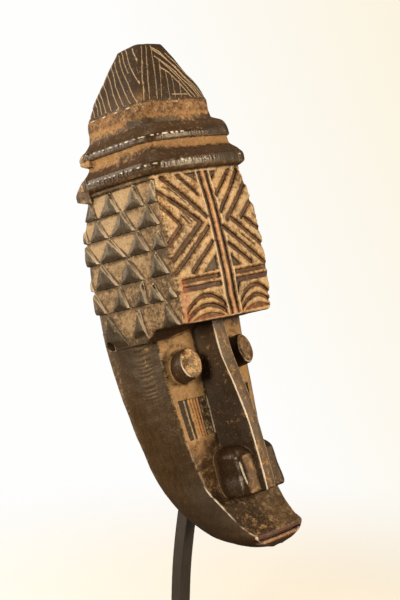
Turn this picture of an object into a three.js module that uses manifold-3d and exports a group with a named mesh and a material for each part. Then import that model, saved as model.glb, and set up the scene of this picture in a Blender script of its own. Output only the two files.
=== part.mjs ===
// A carved wooden ijo mask on its bent steel display rod, modelled in millimetres, +Z up.
//
// The mask is one piece of wood, hollow behind. It is described in its own upright frame
// (x to the wearer's left and right, y from the face to the back, z along the length of the mask,
// with z = 0 at the lower edge of the forehead block) and then leaned back on its rod.
// Three separate pieces: mask, stand_rod, stand_base.
import * as THREE from 'three';
import * as BufferGeometryUtils from 'three/addons/utils/BufferGeometryUtils.js';
import Module from 'manifold-3d';

// ------------------------------------------------------------------ driving dimensions, mm
const LEAN = 18;                    // the mask leans back on the rod, degrees
const WALL = 9.5;                   // wall of the hollow
const BLOCK_TOP = 142, BLOCK_BOTTOM = 3;   // forehead block, above the face
const BLOCK_HALF = 57.5;            // half-width of the block's front
const CAP_TOP = 272.5;                // top of the pointed cap
const CHIN_Z = -212;              // underside of the chin
const NOSE_HALF_TOP = 8.4, NOSE_HALF_END = 6.6;
const PEG = { x: [37.6, 36.6], z: [-31, -29.8], rx: [12.0, 10.6], rz: [14.8, 14.8], y: 31.3, turn: 8, tip: 10 };   // eye pegs, its right and left
const WING = { x: [26.3, 28.4], top: -115, bottom: -161, yTop: 11, yBottom: 6.5 };      // nostril wings
const HOLE_R = 4.2, HOLE_Z = -1, HOLE_Y = 92;        // holes for a cord at the rim
const GROOVE = 1.8;                 // depth of the forehead's carved grooves
const TRI = 2.0;                    // height of the side panels' triangles
const ROD = 14;                     // square bar
const BASE = { w: 170, d: 170, t: 10 };
const BASE_TOP_Z = -372;            // height of the plate's top below the block's lower edge
const BASE_Y = 62;                  // centre of the plate, behind the block's lower front edge
const GAP = 0.3;

// ------------------------------------------------------------------ small tools
const wasm = await Module();
wasm.setup();

const rad = THREE.MathUtils.degToRad;

// value rows [key, a, b, ...], read off at any key by straight interpolation
function row(table, key) {
  const t = table;
  const up = t[0][0] < t[t.length - 1][0];
  const rows = up ? t : [...t].reverse();
  if (key <= rows[0][0]) return rows[0].slice(1);
  for (let i = 1; i < rows.length; i++) {
    if (key <= rows[i][0]) {
      const f = (key - rows[i - 1][0]) / (rows[i][0] - rows[i - 1][0]);
      return rows[i].slice(1).map((v, k) => rows[i - 1][k + 1] + f * (v - rows[i - 1][k + 1]));
    }
  }
  return rows[rows.length - 1].slice(1);
}

// a closed body through a stack of like polygons; each section is a list of [x, y, z]
function loft(sections) {
  const n = sections[0].length;
  const pos = sections.flat(2);
  const idx = [];
  for (let s = 0; s + 1 < sections.length; s++) {
    for (let i = 0; i < n; i++) {
      const j = (i + 1) % n;
      const a = s * n + i, b = s * n + j, c = (s + 1) * n + j, d = (s + 1) * n + i;
      idx.push(a, b, c, a, c, d);
    }
  }
  const cap = (s, flip) => {
    const ring = sections[s].map((p) => new THREE.Vector2(p[0], p[1]));
    if (THREE.ShapeUtils.area(ring) < 0) flip = !flip;
    for (const [a, b, c] of THREE.ShapeUtils.triangulateShape(ring, [])) {
      if (flip) idx.push(s * n + a, s * n + c, s * n + b);
      else idx.push(s * n + a, s * n + b, s * n + c);
    }
  };
  cap(0, true);
  cap(sections.length - 1, false);
  const g = new THREE.BufferGeometry();
  g.setAttribute('position', new THREE.Float32BufferAttribute(pos, 3));
  g.setIndex(idx);
  return g;
}

function solid(geometry, matrix) {
  let g = geometry.clone();
  g.deleteAttribute('normal');
  g.deleteAttribute('uv');
  if (matrix) g.applyMatrix4(matrix);
  g = BufferGeometryUtils.mergeVertices(g, 1e-4);
  const m = new wasm.Manifold(new wasm.Mesh({
    numProp: 3,
    vertProperties: new Float32Array(g.attributes.position.array),
    triVerts: new Uint32Array(g.index.array),
  }));
  return m.volume() < 0 ? solid(flip(g)) : m;
}

function flip(g) {
  const out = g.clone();
  const a = Array.from(g.index.array);
  for (let i = 0; i < a.length; i += 3) [a[i + 1], a[i + 2]] = [a[i + 2], a[i + 1]];
  out.setIndex(a);
  return out;
}

function geometryOf(manifold) {
  const m = manifold.getMesh();
  const g = new THREE.BufferGeometry();
  g.setAttribute('position', new THREE.BufferAttribute(new Float32Array(m.vertProperties), 3));
  g.setIndex(new THREE.BufferAttribute(new Uint32Array(m.triVerts), 1));
  return g;
}

// a flat outline given as [x, z] pairs, extruded from y0 to y1
function slabXZ(points, y0, y1, holes = []) {
  const shape = new THREE.Shape(points.map(([x, z]) => new THREE.Vector2(x, z)));
  for (const h of holes) shape.holes.push(new THREE.Path(h.map(([x, z]) => new THREE.Vector2(x, z))));
  const g = new THREE.ExtrudeGeometry(shape, { depth: y1 - y0, bevelEnabled: false, curveSegments: 10 });
  // shape plane XY -> XZ, extrusion -> +Y
  const m = new THREE.Matrix4().makeBasis(
    new THREE.Vector3(1, 0, 0), new THREE.Vector3(0, 0, 1), new THREE.Vector3(0, 1, 0));
  m.setPosition(0, y0, 0);
  g.applyMatrix4(m);
  return solid(g);
}

// a flat outline given as [y, z] pairs, extruded from x0 to x1
function slabYZ(points, x0, x1) {
  const shape = new THREE.Shape(points.map(([y, z]) => new THREE.Vector2(y, z)));
  const g = new THREE.ExtrudeGeometry(shape, { depth: x1 - x0, bevelEnabled: false });
  const m = new THREE.Matrix4().makeBasis(
    new THREE.Vector3(0, 1, 0), new THREE.Vector3(0, 0, 1), new THREE.Vector3(1, 0, 0));
  m.setPosition(x0, 0, 0);
  g.applyMatrix4(m);
  return solid(g);
}

// the same outline on both sides of the middle
const bothSides = (m) => m.add(m.mirror([1, 0, 0]));

// ------------------------------------------------------------------ the hull below the block
// z : edge of the face (x, y), middle of the side (x), rim (x, y), face beside the nose (y)
const HULL = [
  [14, 57.0, 50.0, 70.8, 77.0, 98.4, 44],
  [3, 56.5, 51.0, 70.2, 76.8, 98.4, 44],
  [-14, 56.0, 52.3, 69.6, 76.4, 97.8, 43.8],
  [-30, 55.6, 52.8, 69.2, 76.0, 96.8, 43.8],
  [-47, 55.0, 53.0, 68.4, 74.8, 95.4, 43.8],
  [-68, 53.5, 52.2, 66.4, 72.0, 93.8, 43.8],
  [-86, 51.5, 51.2, 64.2, 69.2, 93.3, 43.8],
  [-105, 49.4, 50.0, 61.4, 64.4, 93.2, 43.6],
  [-120, 46.8, 49.2, 58.6, 61.8, 92.8, 43],
  [-134, 44.0, 48.0, 55.6, 57.8, 91.8, 42],
  [-146, 41.8, 46.3, 53.0, 53.8, 89.8, 40.5],
  [-154, 41.0, 42.0, 51.0, 51.0, 87.6, 38],
  [-162, 39.7, 35.4, 48.6, 47.6, 85.0, 34],
  [-170, 38.0, 30.2, 46.2, 44.2, 81.8, 29],
  [-177, 36.2, 25.5, 43.8, 40.4, 78.2, 24.4],
  [-184, 35.0, 19.9, 41.2, 36.6, 73.8, 19],
  [-191, 33.4, 13.3, 38.0, 32.4, 68.4, 12.4],
  [-198, 31.6, 4.8, 34.6, 27.4, 62.0, 4.2],
  [-204, 27.0, 4.8, 29.0, 20.6, 53.0, 4.0],
  [-208.5, 18.5, 6.0, 21.6, 14.6, 43.0, 5.0],
  [CHIN_Z, 7.5, 9.5, 12.0, 8.5, 34.0, 8.5],
];
const HULL_SIDE = 7;      // steps from the face's edge to the rim

function hullSection(z, inset = 0) {
  const [xe, ye, xm, xr, yr, yn] = row(HULL, z);
  const half = [];
  // behind the nose and across the cheek, or across the platform under it
  half.push([0, yn], [Math.min(15, xe * 0.45), yn]);
  for (let i = 0; i <= HULL_SIDE; i++) {
    const t = i / HULL_SIDE;
    const y = ye + (yr - ye) * t;
    // quadratic through edge, middle, rim
    const x = xe * (1 - t) * (1 - 2 * t) + xm * 4 * t * (1 - t) + xr * t * (2 * t - 1);
    half.push([x, y]);
  }
  half.push([Math.max(xr - 3.2, xr * 0.8), yr + 2.2]);   // worn, rounded rim
  const right = half.slice(1);
  const left = right.map(([x, y]) => [-x, y]).reverse();
  const ring = [[half[0][0], half[0][1]], ...right, ...left];
  return ring.map(([x, y]) => [x, y, z]);
}

const lowerHull = solid(loft(HULL.map((r) => hullSection(r[0])).reverse()));

// ------------------------------------------------------------------ the forehead block
// z : front at the middle (y), set-back of the corner (dy), half-width, middle of the side, rim (x, y)
const BLOCK = [
  [142, 1.2, 6.2, 56.2, 66.0, 68.5, 88],
  [133, 0.4, 5.8, 56.6, 66.6, 69.4, 89.6],
  [118, -1.2, 4.8, 57.2, 68.3, 72.6, 93.4],
  [104, -2.2, 4.0, 57.8, 69.6, 75.0, 96],
  [90, -2.8, 3.4, 58.3, 70.4, 76.2, 97],
  [76, -3.1, 3.4, 58.6, 71.0, 77.2, 98],
  [62, -3.4, 3.8, 58.6, 71.2, 77.6, 98.5],
  [46, -3.4, 4.4, 58.3, 71.2, 77.8, 99],
  [32, -2.6, 5.0, 57.8, 71.0, 77.6, 99],
  [18, -1.2, 5.6, 57.2, 70.6, 77.2, 98.6],
  [BLOCK_BOTTOM, 0.6, 5.8, 56.9, 70.0, 76.4, 98],
];

function blockSection(z, out = 0) {
  const [yf, dy, xc, xm, xr, yr] = row(BLOCK, z);
  const half = [];
  for (const u of [0, 0.35, 0.7, 0.94]) half.push([xc * u, yf - out + dy * Math.pow(u, 1.4)]);
  half.push([xc + out * 0.4, yf + dy + 1.6]);
  const n = 6;
  for (let i = 1; i <= n; i++) {
    const t = i / n;
    const y0 = yf + dy + 1.6;
    const y = y0 + (yr - y0) * t;
    const x = xc * (1 - t) * (1 - 2 * t) + xm * 4 * t * (1 - t) + xr * t * (2 * t - 1);
    half.push([x + out, y]);
  }
  half.push([xr - 3.2, yr + 2.2]);
  const left = half.slice(1).map(([x, y]) => [-x, y]).reverse();
  return [...half, ...left].map(([x, y]) => [x, y, z]);
}

const block = solid(loft(BLOCK.map((r) => blockSection(r[0])).reverse()));

// ------------------------------------------------------------------ two stepped rings and the cap
// z : front (y), bow of the front (dy), corner half-width, rim half-width, rim (y), corner rounding
const HEAD = [
  [138, 3.0, 5, 56, 67, 86, 9],
  [143.5, -3.5, 6, 61.5, 70.5, 87, 10],
  [146, -5.2, 6, 63.2, 73.0, 89, 10],
  [153.5, -5.0, 6, 63.0, 72.4, 89, 10],
  [156, -3.0, 6, 61.4, 70.2, 87.5, 10],
  [166, 4.0, 6, 54.8, 61.8, 86, 10],
  [172, 4.4, 6, 54.4, 62.6, 87.6, 10],
  [173.4, 1.6, 6, 56.0, 66.6, 91.0, 10],
  [179.2, 2.0, 6, 55.0, 65.0, 89.5, 10],
  [182, 3.8, 6, 53.2, 61.6, 86.5, 10],
  [191, 11.4, 6, 46.4, 55.6, 84.5, 11],
  [207.5, 12.0, 6, 46.2, 53.2, 83.6, 11],
  [210.5, 12.6, 6, 45.6, 51.4, 82.0, 11],
  [226, 15.3, 4.5, 39.8, 43.4, 78.5, 10],
  [242, 20.6, 4, 32.6, 33.2, 72.6, 9],
  [256, 25.6, 3.5, 25.4, 24.4, 68.0, 8],
  [264, 28.4, 3, 20.4, 18.4, 64.6, 7],
  [268.6, 31.4, 2.5, 16.6, 15.6, 62.0, 5.5],
  [271.4, 35.6, 2, 12.0, 11.8, 58.6, 4.5],
  [CAP_TOP, 40.0, 1, 6.6, 6.8, 54.5, 3],
];

function headSection(z) {
  const [yf, dy, xc, xb, yb, rc] = row(HEAD, z);
  const half = [];
  for (const u of [0, 0.3, 0.58]) half.push([xc * u, yf + dy * u * u]);
  // rounded front corner: from the front edge to the side
  const cx = xc - rc, cy = yf + dy + rc * 0.75;
  for (let k = 0; k <= 4; k++) {
    const a = rad(12 + (k / 4) * 70);
    half.push([cx + rc * Math.sin(a), cy - rc * 0.98 * Math.cos(a)]);
  }
  for (const t of [0.45, 0.8]) {
    const y = cy + (yb - cy) * t;
    half.push([xc + (xb - xc) * (1.25 * t - 0.25 * t * t), y]);
  }
  half.push([xb, yb - rc * 0.25]);
  half.push([xb - rc * 0.45, yb + 1.2]);
  const left = half.slice(1).map(([x, y]) => [-x, y]).reverse();
  return [...half, ...left].map(([x, y]) => [x, y, z]);
}

const head = solid(loft(HEAD.map((r) => headSection(r[0]))));

// ------------------------------------------------------------------ carved pattern of the forehead
// grooves cut into the bowed front, as [side, x0, z0, x1, z1, width]; side -1 is the wearer's right
function bar(x0, z0, x1, z1, w) {
  const dx = x1 - x0, dz = z1 - z0, l = Math.hypot(dx, dz), nx = (-dz / l) * w / 2, nz = (dx / l) * w / 2;
  return [[x0 + nx, z0 + nz], [x1 + nx, z1 + nz], [x1 - nx, z1 - nz], [x0 - nx, z0 - nz]];
}
const MID = 92;                     // height of the chevrons' points
const LINE = 42;                    // groove between the two level ridges above the arcs
const CHEVRONS = [                  // nested chevrons, points towards the middle band
  [-1, 9.5, MID + 5, 46, 136, 4.2], [-1, 9.5, MID - 4.5, 55, 53.5, 4.2],
  [-1, 18, MID, 54, 123, 4.4], [-1, 18, MID, 55, 65, 4.4],
  [-1, 42, MID, 55, 108, 4.0], [-1, 42, MID, 55, 81, 4.0],
  [-1, 13.5, 118.5, 30, 137, 3.6], [-1, 9.5, 73, 40, 49.5, 3.8],
  [1, 9, MID + 7, 50, 137, 4.2], [1, 8.5, MID - 7.5, 53, 48.5, 4.2],
  [1, 17, MID, 55, 123, 4.4], [1, 21, MID, 55, 65, 4.4],
  [1, 37, MID, 55, 106, 4.0], [1, 41, MID - 1, 55, 79, 4.0],
  [1, 10, 116, 36, 137, 3.8], [1, 9.5, 69, 36, 49.5, 3.8],
];
const cuts = CHEVRONS.map(([side, x0, z0, x1, z1, w]) => slabXZ(bar(side * x0, z0, side * x1, z1, w), -14, 14));
for (const side of [-1, 1]) {
  // the grooves on either side of the middle ridge, and the two level grooves
  cuts.push(slabXZ(bar(side * 4.3, 8, side * 4.3, 140, 3.8), -14, 14));
  cuts.push(slabXZ(bar(side * 10, LINE, side * 56, LINE, 3.4), -14, 14));
  cuts.push(slabXZ(bar(side * 10, LINE - 7.8, side * 56, LINE - 7.8, 3.2), -14, 14));
  // dark triangles beside the band, at the foot and the head of the chevrons
  cuts.push(slabXZ([[side * 10, 47.5], [side * 26, 47.5], [side * 10, 60]], -14, 14));
  cuts.push(slabXZ([[side * 10, 138], [side * 20, 138], [side * 10, 131]], -14, 14));
  // arcs, open below
  const cx = side < 0 ? -31 : 35;
  for (const [rx, rz] of [[24.5, 24], [22, 15]]) {
    const outer = [], inner = [];
    for (let k = 0; k <= 12; k++) {
      const t = Math.PI * (0.06 + 0.88 * (k / 12));
      outer.push([cx + (rx + 1.7) * Math.cos(t), 2 + (rz + 1.7) * Math.sin(t)]);
      inner.push([cx + (rx - 1.7) * Math.cos(t), 2 + (rz - 1.7) * Math.sin(t)]);
    }
    cuts.push(slabXZ([...outer, ...inner.reverse()], -14, 14));
  }
}
const behindFront = solid(loft(BLOCK.map((r) => blockSection(r[0], -GROOVE)).reverse()));
const frontPattern = wasm.Manifold.union(cuts)
  .intersect(slabXZ([[-55.5, 6.5], [55.5, 6.5], [55.5, 139], [-55.5, 139]], -15, 15))
  .subtract(behindFront);

// ------------------------------------------------------------------ raised triangles on the sides
// base height, point height, half-width of the base, places of the points back from the front edge
const TRIANGLES = [
  [117, 137, 11, [32, 58, 84]],
  [97.5, 117, 12.5, [20, 48, 78]],
  [76, 96, 13, [33, 66, 96]],
  [52.5, 74, 12.5, [20, 49, 81]],
  [30.5, 50, 10.5, [30, 66, 97]],
  [5, 27, 9, [21, 52]],
];
const proudSide = solid(loft(BLOCK.map((r) => blockSection(r[0], TRI)).reverse()));
const triangles = [];
for (const [z0, z1, hw, places] of TRIANGLES) {
  for (const y of places) triangles.push(slabYZ([[y - hw, z0], [y + hw, z0], [y, z1]], 40, 90));
}
const carvedTriangles = bothSides(wasm.Manifold.union(triangles).intersect(proudSide));

// the flared back edge behind the two rings
const backEdge = bothSides(slabYZ([[80, 156], [84, 155], [90.2, 152], [96.5, 147.7], [100.5, 142.8], [101, 136.9], [90, 133.6], [80, 132.2]], 63, 73.4)
  .add(slabYZ([[78, 181], [85.5, 178.6], [91.5, 175.6], [92.6, 169.6], [86, 166.4], [78, 166.4]], 55, 66)));

// ------------------------------------------------------------------ nose
// z : ridge (y), half-width of the ridge, foot (half-width)
const NOSE = [
  [9, 24.5, NOSE_HALF_TOP, 16.0],
  [0, 23.2, NOSE_HALF_TOP, 16.0],
  [-26, 21.4, 8.3, 15.4],
  [-60, 13.2, 7.7, 15.8],
  [-103, 5.2, 7.0, 15.0],
  [-140, 2.6, 6.8, 13.5],
  [-157, 2.0, NOSE_HALF_END, 12.5],
  [-160.5, 3.4, NOSE_HALF_END - 0.6, 12.0],
];
const nose = solid(loft(NOSE.map(([z, y, h, f]) => [
  [0, y - 0.8, z], [h - 1.2, y - 0.2, z], [h, y + 1.2, z], [h + 2.2, y + 12, z], [f, 46, z], [f, 52, z],
  [-f, 52, z], [-f, 46, z], [-h - 2.2, y + 12, z], [-h, y + 1.2, z], [-h + 1.2, y - 0.2, z],
]).reverse()));

// ------------------------------------------------------------------ eye pegs
const pegShape = new THREE.CylinderGeometry(1, 1.02, 26, 24);
const pegMatrix = (s) => new THREE.Matrix4().compose(
  new THREE.Vector3(s * PEG.x[s < 0 ? 0 : 1], PEG.y, PEG.z[s < 0 ? 0 : 1]),
  new THREE.Quaternion().setFromEuler(new THREE.Euler(rad(-PEG.tip), 0, rad(s * PEG.turn), 'ZXY')),
  new THREE.Vector3(1, 1, 1));
const pegs = [-1, 1].map((s) => {
  const m = new THREE.Matrix4().makeTranslation(0, 13, 0)
    .multiply(new THREE.Matrix4().makeScale(PEG.rx[s < 0 ? 0 : 1], 1, PEG.rz[s < 0 ? 0 : 1]));
  return solid(pegShape, pegMatrix(s).multiply(m));
});

// ------------------------------------------------------------------ nostril wings
function wing(s) {
  const wx = WING.x[s < 0 ? 0 : 1];
  const arch = [[0, WING.bottom], [wx, WING.bottom], [wx + 2.4, WING.bottom + 4]];
  for (let k = 0; k <= 8; k++) {
    const a = rad((k / 8) * 80);
    arch.push([wx - 13 + 13 * Math.cos(a), WING.top - 14 + 14 * Math.sin(a)]);
  }
  arch.push([0, WING.top + 1]);
  const body = slabXZ(arch.map(([x, z]) => [s * x, z]), 2, 50);
  // the front face leans out towards its lower end
  const front = solid(loft([
    [[-2, WING.yTop + 9, 1], [31, WING.yTop + 11, 1], [31, 60, 1], [-2, 60, 1]].map(([x, y]) => [s * x, y, WING.top + 3]),
    [[-2, WING.yTop - 1, 1], [31, WING.yTop + 2.5, 1], [31, 60, 1], [-2, 60, 1]].map(([x, y]) => [s * x, y, WING.top - 9]),
    [[-2, WING.yBottom - 0.5, 1], [31, WING.yBottom + 2.5, 1], [31, 60, 1], [-2, 60, 1]].map(([x, y]) => [s * x, y, WING.bottom - 4]),
  ].reverse()));
  return body.intersect(front);
}

// ------------------------------------------------------------------ mouth: a slit across the tip of the lip
const mouth = slabXZ([[-27, -200.2], [27, -200.2], [25, -203.0], [0, -204.2], [-25, -203.0]], -2, 8.5);

// ------------------------------------------------------------------ the hollow behind, open at the back
// z : half-width at the face, front (y), half-width at the rim
const CAVITY = [
  [-188, 10, 54, 12],
  [-180, 19, 48, 22],
  [-168, 27, 52, 31],
  [-150, 33, 57.0, 39],
  [-125, 38.5, 58.5, 48],
  [-100, 42.5, 58.5, 53.5],
  [-60, 46.5, 58.5, 61.0],
  [-30, 48.5, 58.5, 65.0],
  [0, 49.5, 58.0, 66.5],
  [13, 49.5, 56.0, 66.5],
  [22, 47.5, 34, 67],
  [36, 47.0, 20, 67.5],
  [80, 47.5, 17, 67.5],
  [120, 46.0, 20, 63.5],
  [140, 40, 27, 56],
  [152, 28, 38, 43],
  [157, 16, 50, 27],
];
const cavity = solid(loft(CAVITY.map(([z, xf, yf, xr]) => {
  const half = [[0, yf], [xf * 0.8, yf + 0.6], [xf, yf + 4.5]];
  for (const t of [0.3, 0.65, 1]) half.push([xf + (xr - xf) * (1.3 * t - 0.3 * t * t), yf + 4.5 + (100 - yf - 4.5) * t]);
  half.push([xr, 120]);
  const left = half.slice(1).map(([x, y]) => [-x, y]).reverse();
  return [...half, ...left].map(([x, y]) => [x, y, z]);
})));

// ------------------------------------------------------------------ holes near the rim for a cord
const holeShape = new THREE.CylinderGeometry(HOLE_R, HOLE_R, 60, 16);
const holes = [-1, 1].map((s) => solid(holeShape, new THREE.Matrix4().compose(
  new THREE.Vector3(s * 76, HOLE_Y, HOLE_Z),
  new THREE.Quaternion().setFromEuler(new THREE.Euler(0, 0, rad(90 + s * 14))),
  new THREE.Vector3(1, 1, 1))));

let mask = wasm.Manifold.union([lowerHull, block, head, backEdge, carvedTriangles, nose, ...pegs, wing(-1), wing(1)]);
mask = mask.subtract(wasm.Manifold.union([cavity, mouth, frontPattern, ...holes]));

// ------------------------------------------------------------------ the rod, in the stand's own frame
// centre line as [y, z], from the plate up, into the hollow and along it to its ceiling
const lean = rad(LEAN), cs = Math.cos(lean), sn = Math.sin(lean);
const fromMask = (y, z) => [y * cs + z * sn, -y * sn + z * cs];
const rodTop = fromMask(59.5, 151.5);
const ROD_LINE = [
  [75, BASE_TOP_Z + GAP], [75, -338], [74.4, -300], [72.2, -262], [66.2, -217],
  fromMask(108, -146), fromMask(89, -108), fromMask(78, -72), fromMask(71.5, -35),
  fromMask(67, 5), fromMask(63.5, 50), fromMask(61, 100), rodTop,
];
const rodCurve = new THREE.CatmullRomCurve3(ROD_LINE.map(([y, z]) => new THREE.Vector3(0, y, z)), false, 'centripetal');
const rodSteps = 44;
const rodSections = [];
for (let i = 0; i <= rodSteps; i++) {
  const u = i / rodSteps;
  const p = rodCurve.getPointAt(u);
  const t = rodCurve.getTangentAt(u);
  // across the bar in the plane of the bend; the foot stands square on the plate
  const n = i === 0 ? new THREE.Vector3(0, 1, 0) : new THREE.Vector3(0, t.z, -t.y);
  const h = ROD / 2, c = 0.8;
  const corner = (x, q) => [x, p.y + n.y * q, p.z + n.z * q];
  rodSections.push([
    corner(-h + c, -h), corner(h - c, -h), corner(h, -h + c), corner(h, h - c),
    corner(h - c, h), corner(-h + c, h), corner(-h, h - c), corner(-h, -h + c),
  ]);
}
function sweep(sections) {
  const n = sections[0].length, idx = [];
  for (let s = 0; s + 1 < sections.length; s++) {
    for (let i = 0; i < n; i++) {
      const j = (i + 1) % n;
      idx.push(s * n + i, s * n + j, (s + 1) * n + j, s * n + i, (s + 1) * n + j, (s + 1) * n + i);
    }
  }
  const last = (sections.length - 1) * n;
  for (let i = 1; i + 1 < n; i++) {
    idx.push(0, i + 1, i);
    idx.push(last, last + i, last + i + 1);
  }
  const g = new THREE.BufferGeometry();
  g.setAttribute('position', new THREE.Float32BufferAttribute(sections.flat(2), 3));
  g.setIndex(idx);
  return g;
}
const rod = solid(sweep(rodSections));

// ------------------------------------------------------------------ the plate under the rod
const plateShape = new THREE.Shape();
{
  const w = BASE.w / 2, d = BASE.d / 2, r = 4;
  plateShape.moveTo(-w + r, -d);
  plateShape.lineTo(w - r, -d);
  plateShape.absarc(w - r, -d + r, r, -Math.PI / 2, 0, false);
  plateShape.lineTo(w, d - r);
  plateShape.absarc(w - r, d - r, r, 0, Math.PI / 2, false);
  plateShape.lineTo(-w + r, d);
  plateShape.absarc(-w + r, d - r, r, Math.PI / 2, Math.PI, false);
  plateShape.lineTo(-w, -d + r);
  plateShape.absarc(-w + r, -d + r, r, Math.PI, Math.PI * 1.5, false);
}
const plateGeometry = new THREE.ExtrudeGeometry(plateShape, {
  depth: BASE.t - 1.6, bevelEnabled: true, bevelThickness: 0.8, bevelSize: 0.8, bevelOffset: -0.8,
  bevelSegments: 1, curveSegments: 5,
});
plateGeometry.translate(0, 0, 0.8);
const plate = solid(plateGeometry);

// ------------------------------------------------------------------ the object, standing on its plate
const wood = new THREE.MeshStandardMaterial({ color: 0x4a3a2a, roughness: 0.5, metalness: 0 });
const blackSteel = new THREE.MeshStandardMaterial({ color: 0x3a332d, roughness: 0.55, metalness: 0.3 });

const object = new THREE.Group();

// the stand's frame: plate underside at z = 0, plate centred on the origin
const held = new THREE.Group();
held.position.set(0, -BASE_Y, BASE.t - BASE_TOP_Z);
object.add(held);

const maskMesh = new THREE.Mesh(geometryOf(mask), wood);
maskMesh.name = 'mask';
maskMesh.rotation.x = -lean;
held.add(maskMesh);

const rodMesh = new THREE.Mesh(geometryOf(rod), blackSteel);
rodMesh.name = 'stand_rod';
held.add(rodMesh);

const plateMesh = new THREE.Mesh(geometryOf(plate), blackSteel);
plateMesh.name = 'stand_base';
object.add(plateMesh);

export default object;
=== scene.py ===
import math

import bpy
import numpy as np
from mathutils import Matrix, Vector


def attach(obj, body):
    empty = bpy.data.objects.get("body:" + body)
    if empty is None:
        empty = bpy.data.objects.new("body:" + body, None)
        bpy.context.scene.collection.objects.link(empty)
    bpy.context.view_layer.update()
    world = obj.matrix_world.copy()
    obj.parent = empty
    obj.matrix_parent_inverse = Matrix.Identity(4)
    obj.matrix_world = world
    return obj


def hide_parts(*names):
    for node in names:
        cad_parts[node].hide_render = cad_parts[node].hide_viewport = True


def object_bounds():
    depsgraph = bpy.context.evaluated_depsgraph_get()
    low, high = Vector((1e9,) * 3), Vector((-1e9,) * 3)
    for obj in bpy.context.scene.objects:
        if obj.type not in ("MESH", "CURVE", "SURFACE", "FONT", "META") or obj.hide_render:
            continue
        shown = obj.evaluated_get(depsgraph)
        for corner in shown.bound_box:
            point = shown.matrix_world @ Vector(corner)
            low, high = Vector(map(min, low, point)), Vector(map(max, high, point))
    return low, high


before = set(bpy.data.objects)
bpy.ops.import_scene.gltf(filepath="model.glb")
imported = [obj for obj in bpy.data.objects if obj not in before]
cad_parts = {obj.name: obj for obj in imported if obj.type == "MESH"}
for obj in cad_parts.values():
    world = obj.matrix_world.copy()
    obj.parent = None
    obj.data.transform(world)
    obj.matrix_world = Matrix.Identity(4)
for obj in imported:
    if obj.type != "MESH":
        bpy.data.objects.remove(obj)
CAD_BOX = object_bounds()

# ------------------------------------------------------------------ the mask's own frame
# x across the face, y from the face to the back, z along the mask, all in millimetres;
# z = 0 is at the lower edge of the forehead block, and the whole leans back 18 degrees.
LEAN = math.radians(18)
CS, SN = math.cos(LEAN), math.sin(LEAN)
SHIFT_Y, SHIFT_Z = -62.0, 382.0


def to_row(p):
    x, y, z = p[:, 0], p[:, 1], p[:, 2]
    return np.stack([x, y * CS + z * SN + SHIFT_Y, -y * SN + z * CS + SHIFT_Z], 1) / 1000.0


def turn_to_row(n):
    return np.stack([n[:, 0], n[:, 1] * CS + n[:, 2] * SN, -n[:, 1] * SN + n[:, 2] * CS], 1)


# ------------------------------------------------------------------ tables read with smooth curves
def pchip(xs, ys, q):
    h = np.diff(xs)
    d = np.diff(ys) / h
    m = np.zeros(len(xs))
    for i in range(1, len(xs) - 1):
        if d[i - 1] * d[i] > 0:
            w1, w2 = 2 * h[i] + h[i - 1], h[i] + 2 * h[i - 1]
            m[i] = (w1 + w2) / (w1 / d[i - 1] + w2 / d[i])
    m[0], m[-1] = d[0], d[-1]
    k = np.clip(np.searchsorted(xs, q) - 1, 0, len(xs) - 2)
    t = (q - xs[k]) / h[k]
    a, b = ys[k], ys[k + 1]
    return (a * (1 + 2 * t) * (1 - t) ** 2 + b * t * t * (3 - 2 * t)
            + h[k] * (m[k] * t * (1 - t) ** 2 - m[k + 1] * t * t * (1 - t)))


def curve_table(rows, step=0.2):
    t = np.array(rows, float)
    t = t[np.argsort(t[:, 0])]
    q = np.arange(t[0, 0], t[-1, 0] + step * 0.5, step)
    cols = [pchip(t[:, 0], t[:, k], q) for k in range(1, t.shape[1])]
    return float(q[0]), step, np.array(cols).T.astype(np.float32)


def read(table, z):
    z0, step, a = table
    q = np.clip((z - z0) / step, 0, len(a) - 1.001)
    i = q.astype(np.int32)
    f = (q - i)[:, None].astype(np.float32)
    return (a[i] * (1 - f) + a[i + 1] * f).T


HULL = curve_table([
    # z, edge of the face x, y, middle of the side x, rim x, y, face beside the nose y
    [14, 57.0, 50.0, 70.8, 77.0, 98.4, 44], [3, 56.5, 51.0, 70.2, 76.8, 98.4, 44], [-14, 56.0, 52.3, 69.6, 76.4, 97.8, 43.8],
    [-30, 55.6, 52.8, 69.2, 76.0, 96.8, 43.8], [-47, 55.0, 53.0, 68.4, 74.8, 95.4, 43.8], [-68, 53.5, 52.2, 66.4, 72.0, 93.8, 43.8],
    [-86, 51.5, 51.2, 64.2, 69.2, 93.3, 43.8], [-105, 49.4, 50.0, 61.4, 64.4, 93.2, 43.6], [-120, 46.8, 49.2, 58.6, 61.8, 92.8, 43],
    [-134, 44.0, 48.0, 55.6, 57.8, 91.8, 42], [-146, 41.8, 46.3, 53.0, 53.8, 89.8, 40.5], [-154, 41.0, 42.0, 51.0, 51.0, 87.6, 38],
    [-162, 39.7, 35.4, 48.6, 47.6, 85.0, 34], [-170, 38.0, 30.2, 46.2, 44.2, 81.8, 29], [-177, 36.2, 25.5, 43.8, 40.4, 78.2, 24.4],
    [-184, 35.0, 19.9, 41.2, 36.6, 73.8, 19], [-191, 33.4, 13.3, 38.0, 32.4, 68.4, 12.4], [-198, 31.6, 4.8, 34.6, 27.4, 62.0, 4.2],
    [-204, 27.0, 4.8, 29.0, 20.6, 53.0, 4.0], [-208.5, 18.5, 6.0, 21.6, 14.6, 43.0, 5.0], [-212, 7.5, 9.5, 12.0, 8.5, 34.0, 8.5]])
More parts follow.
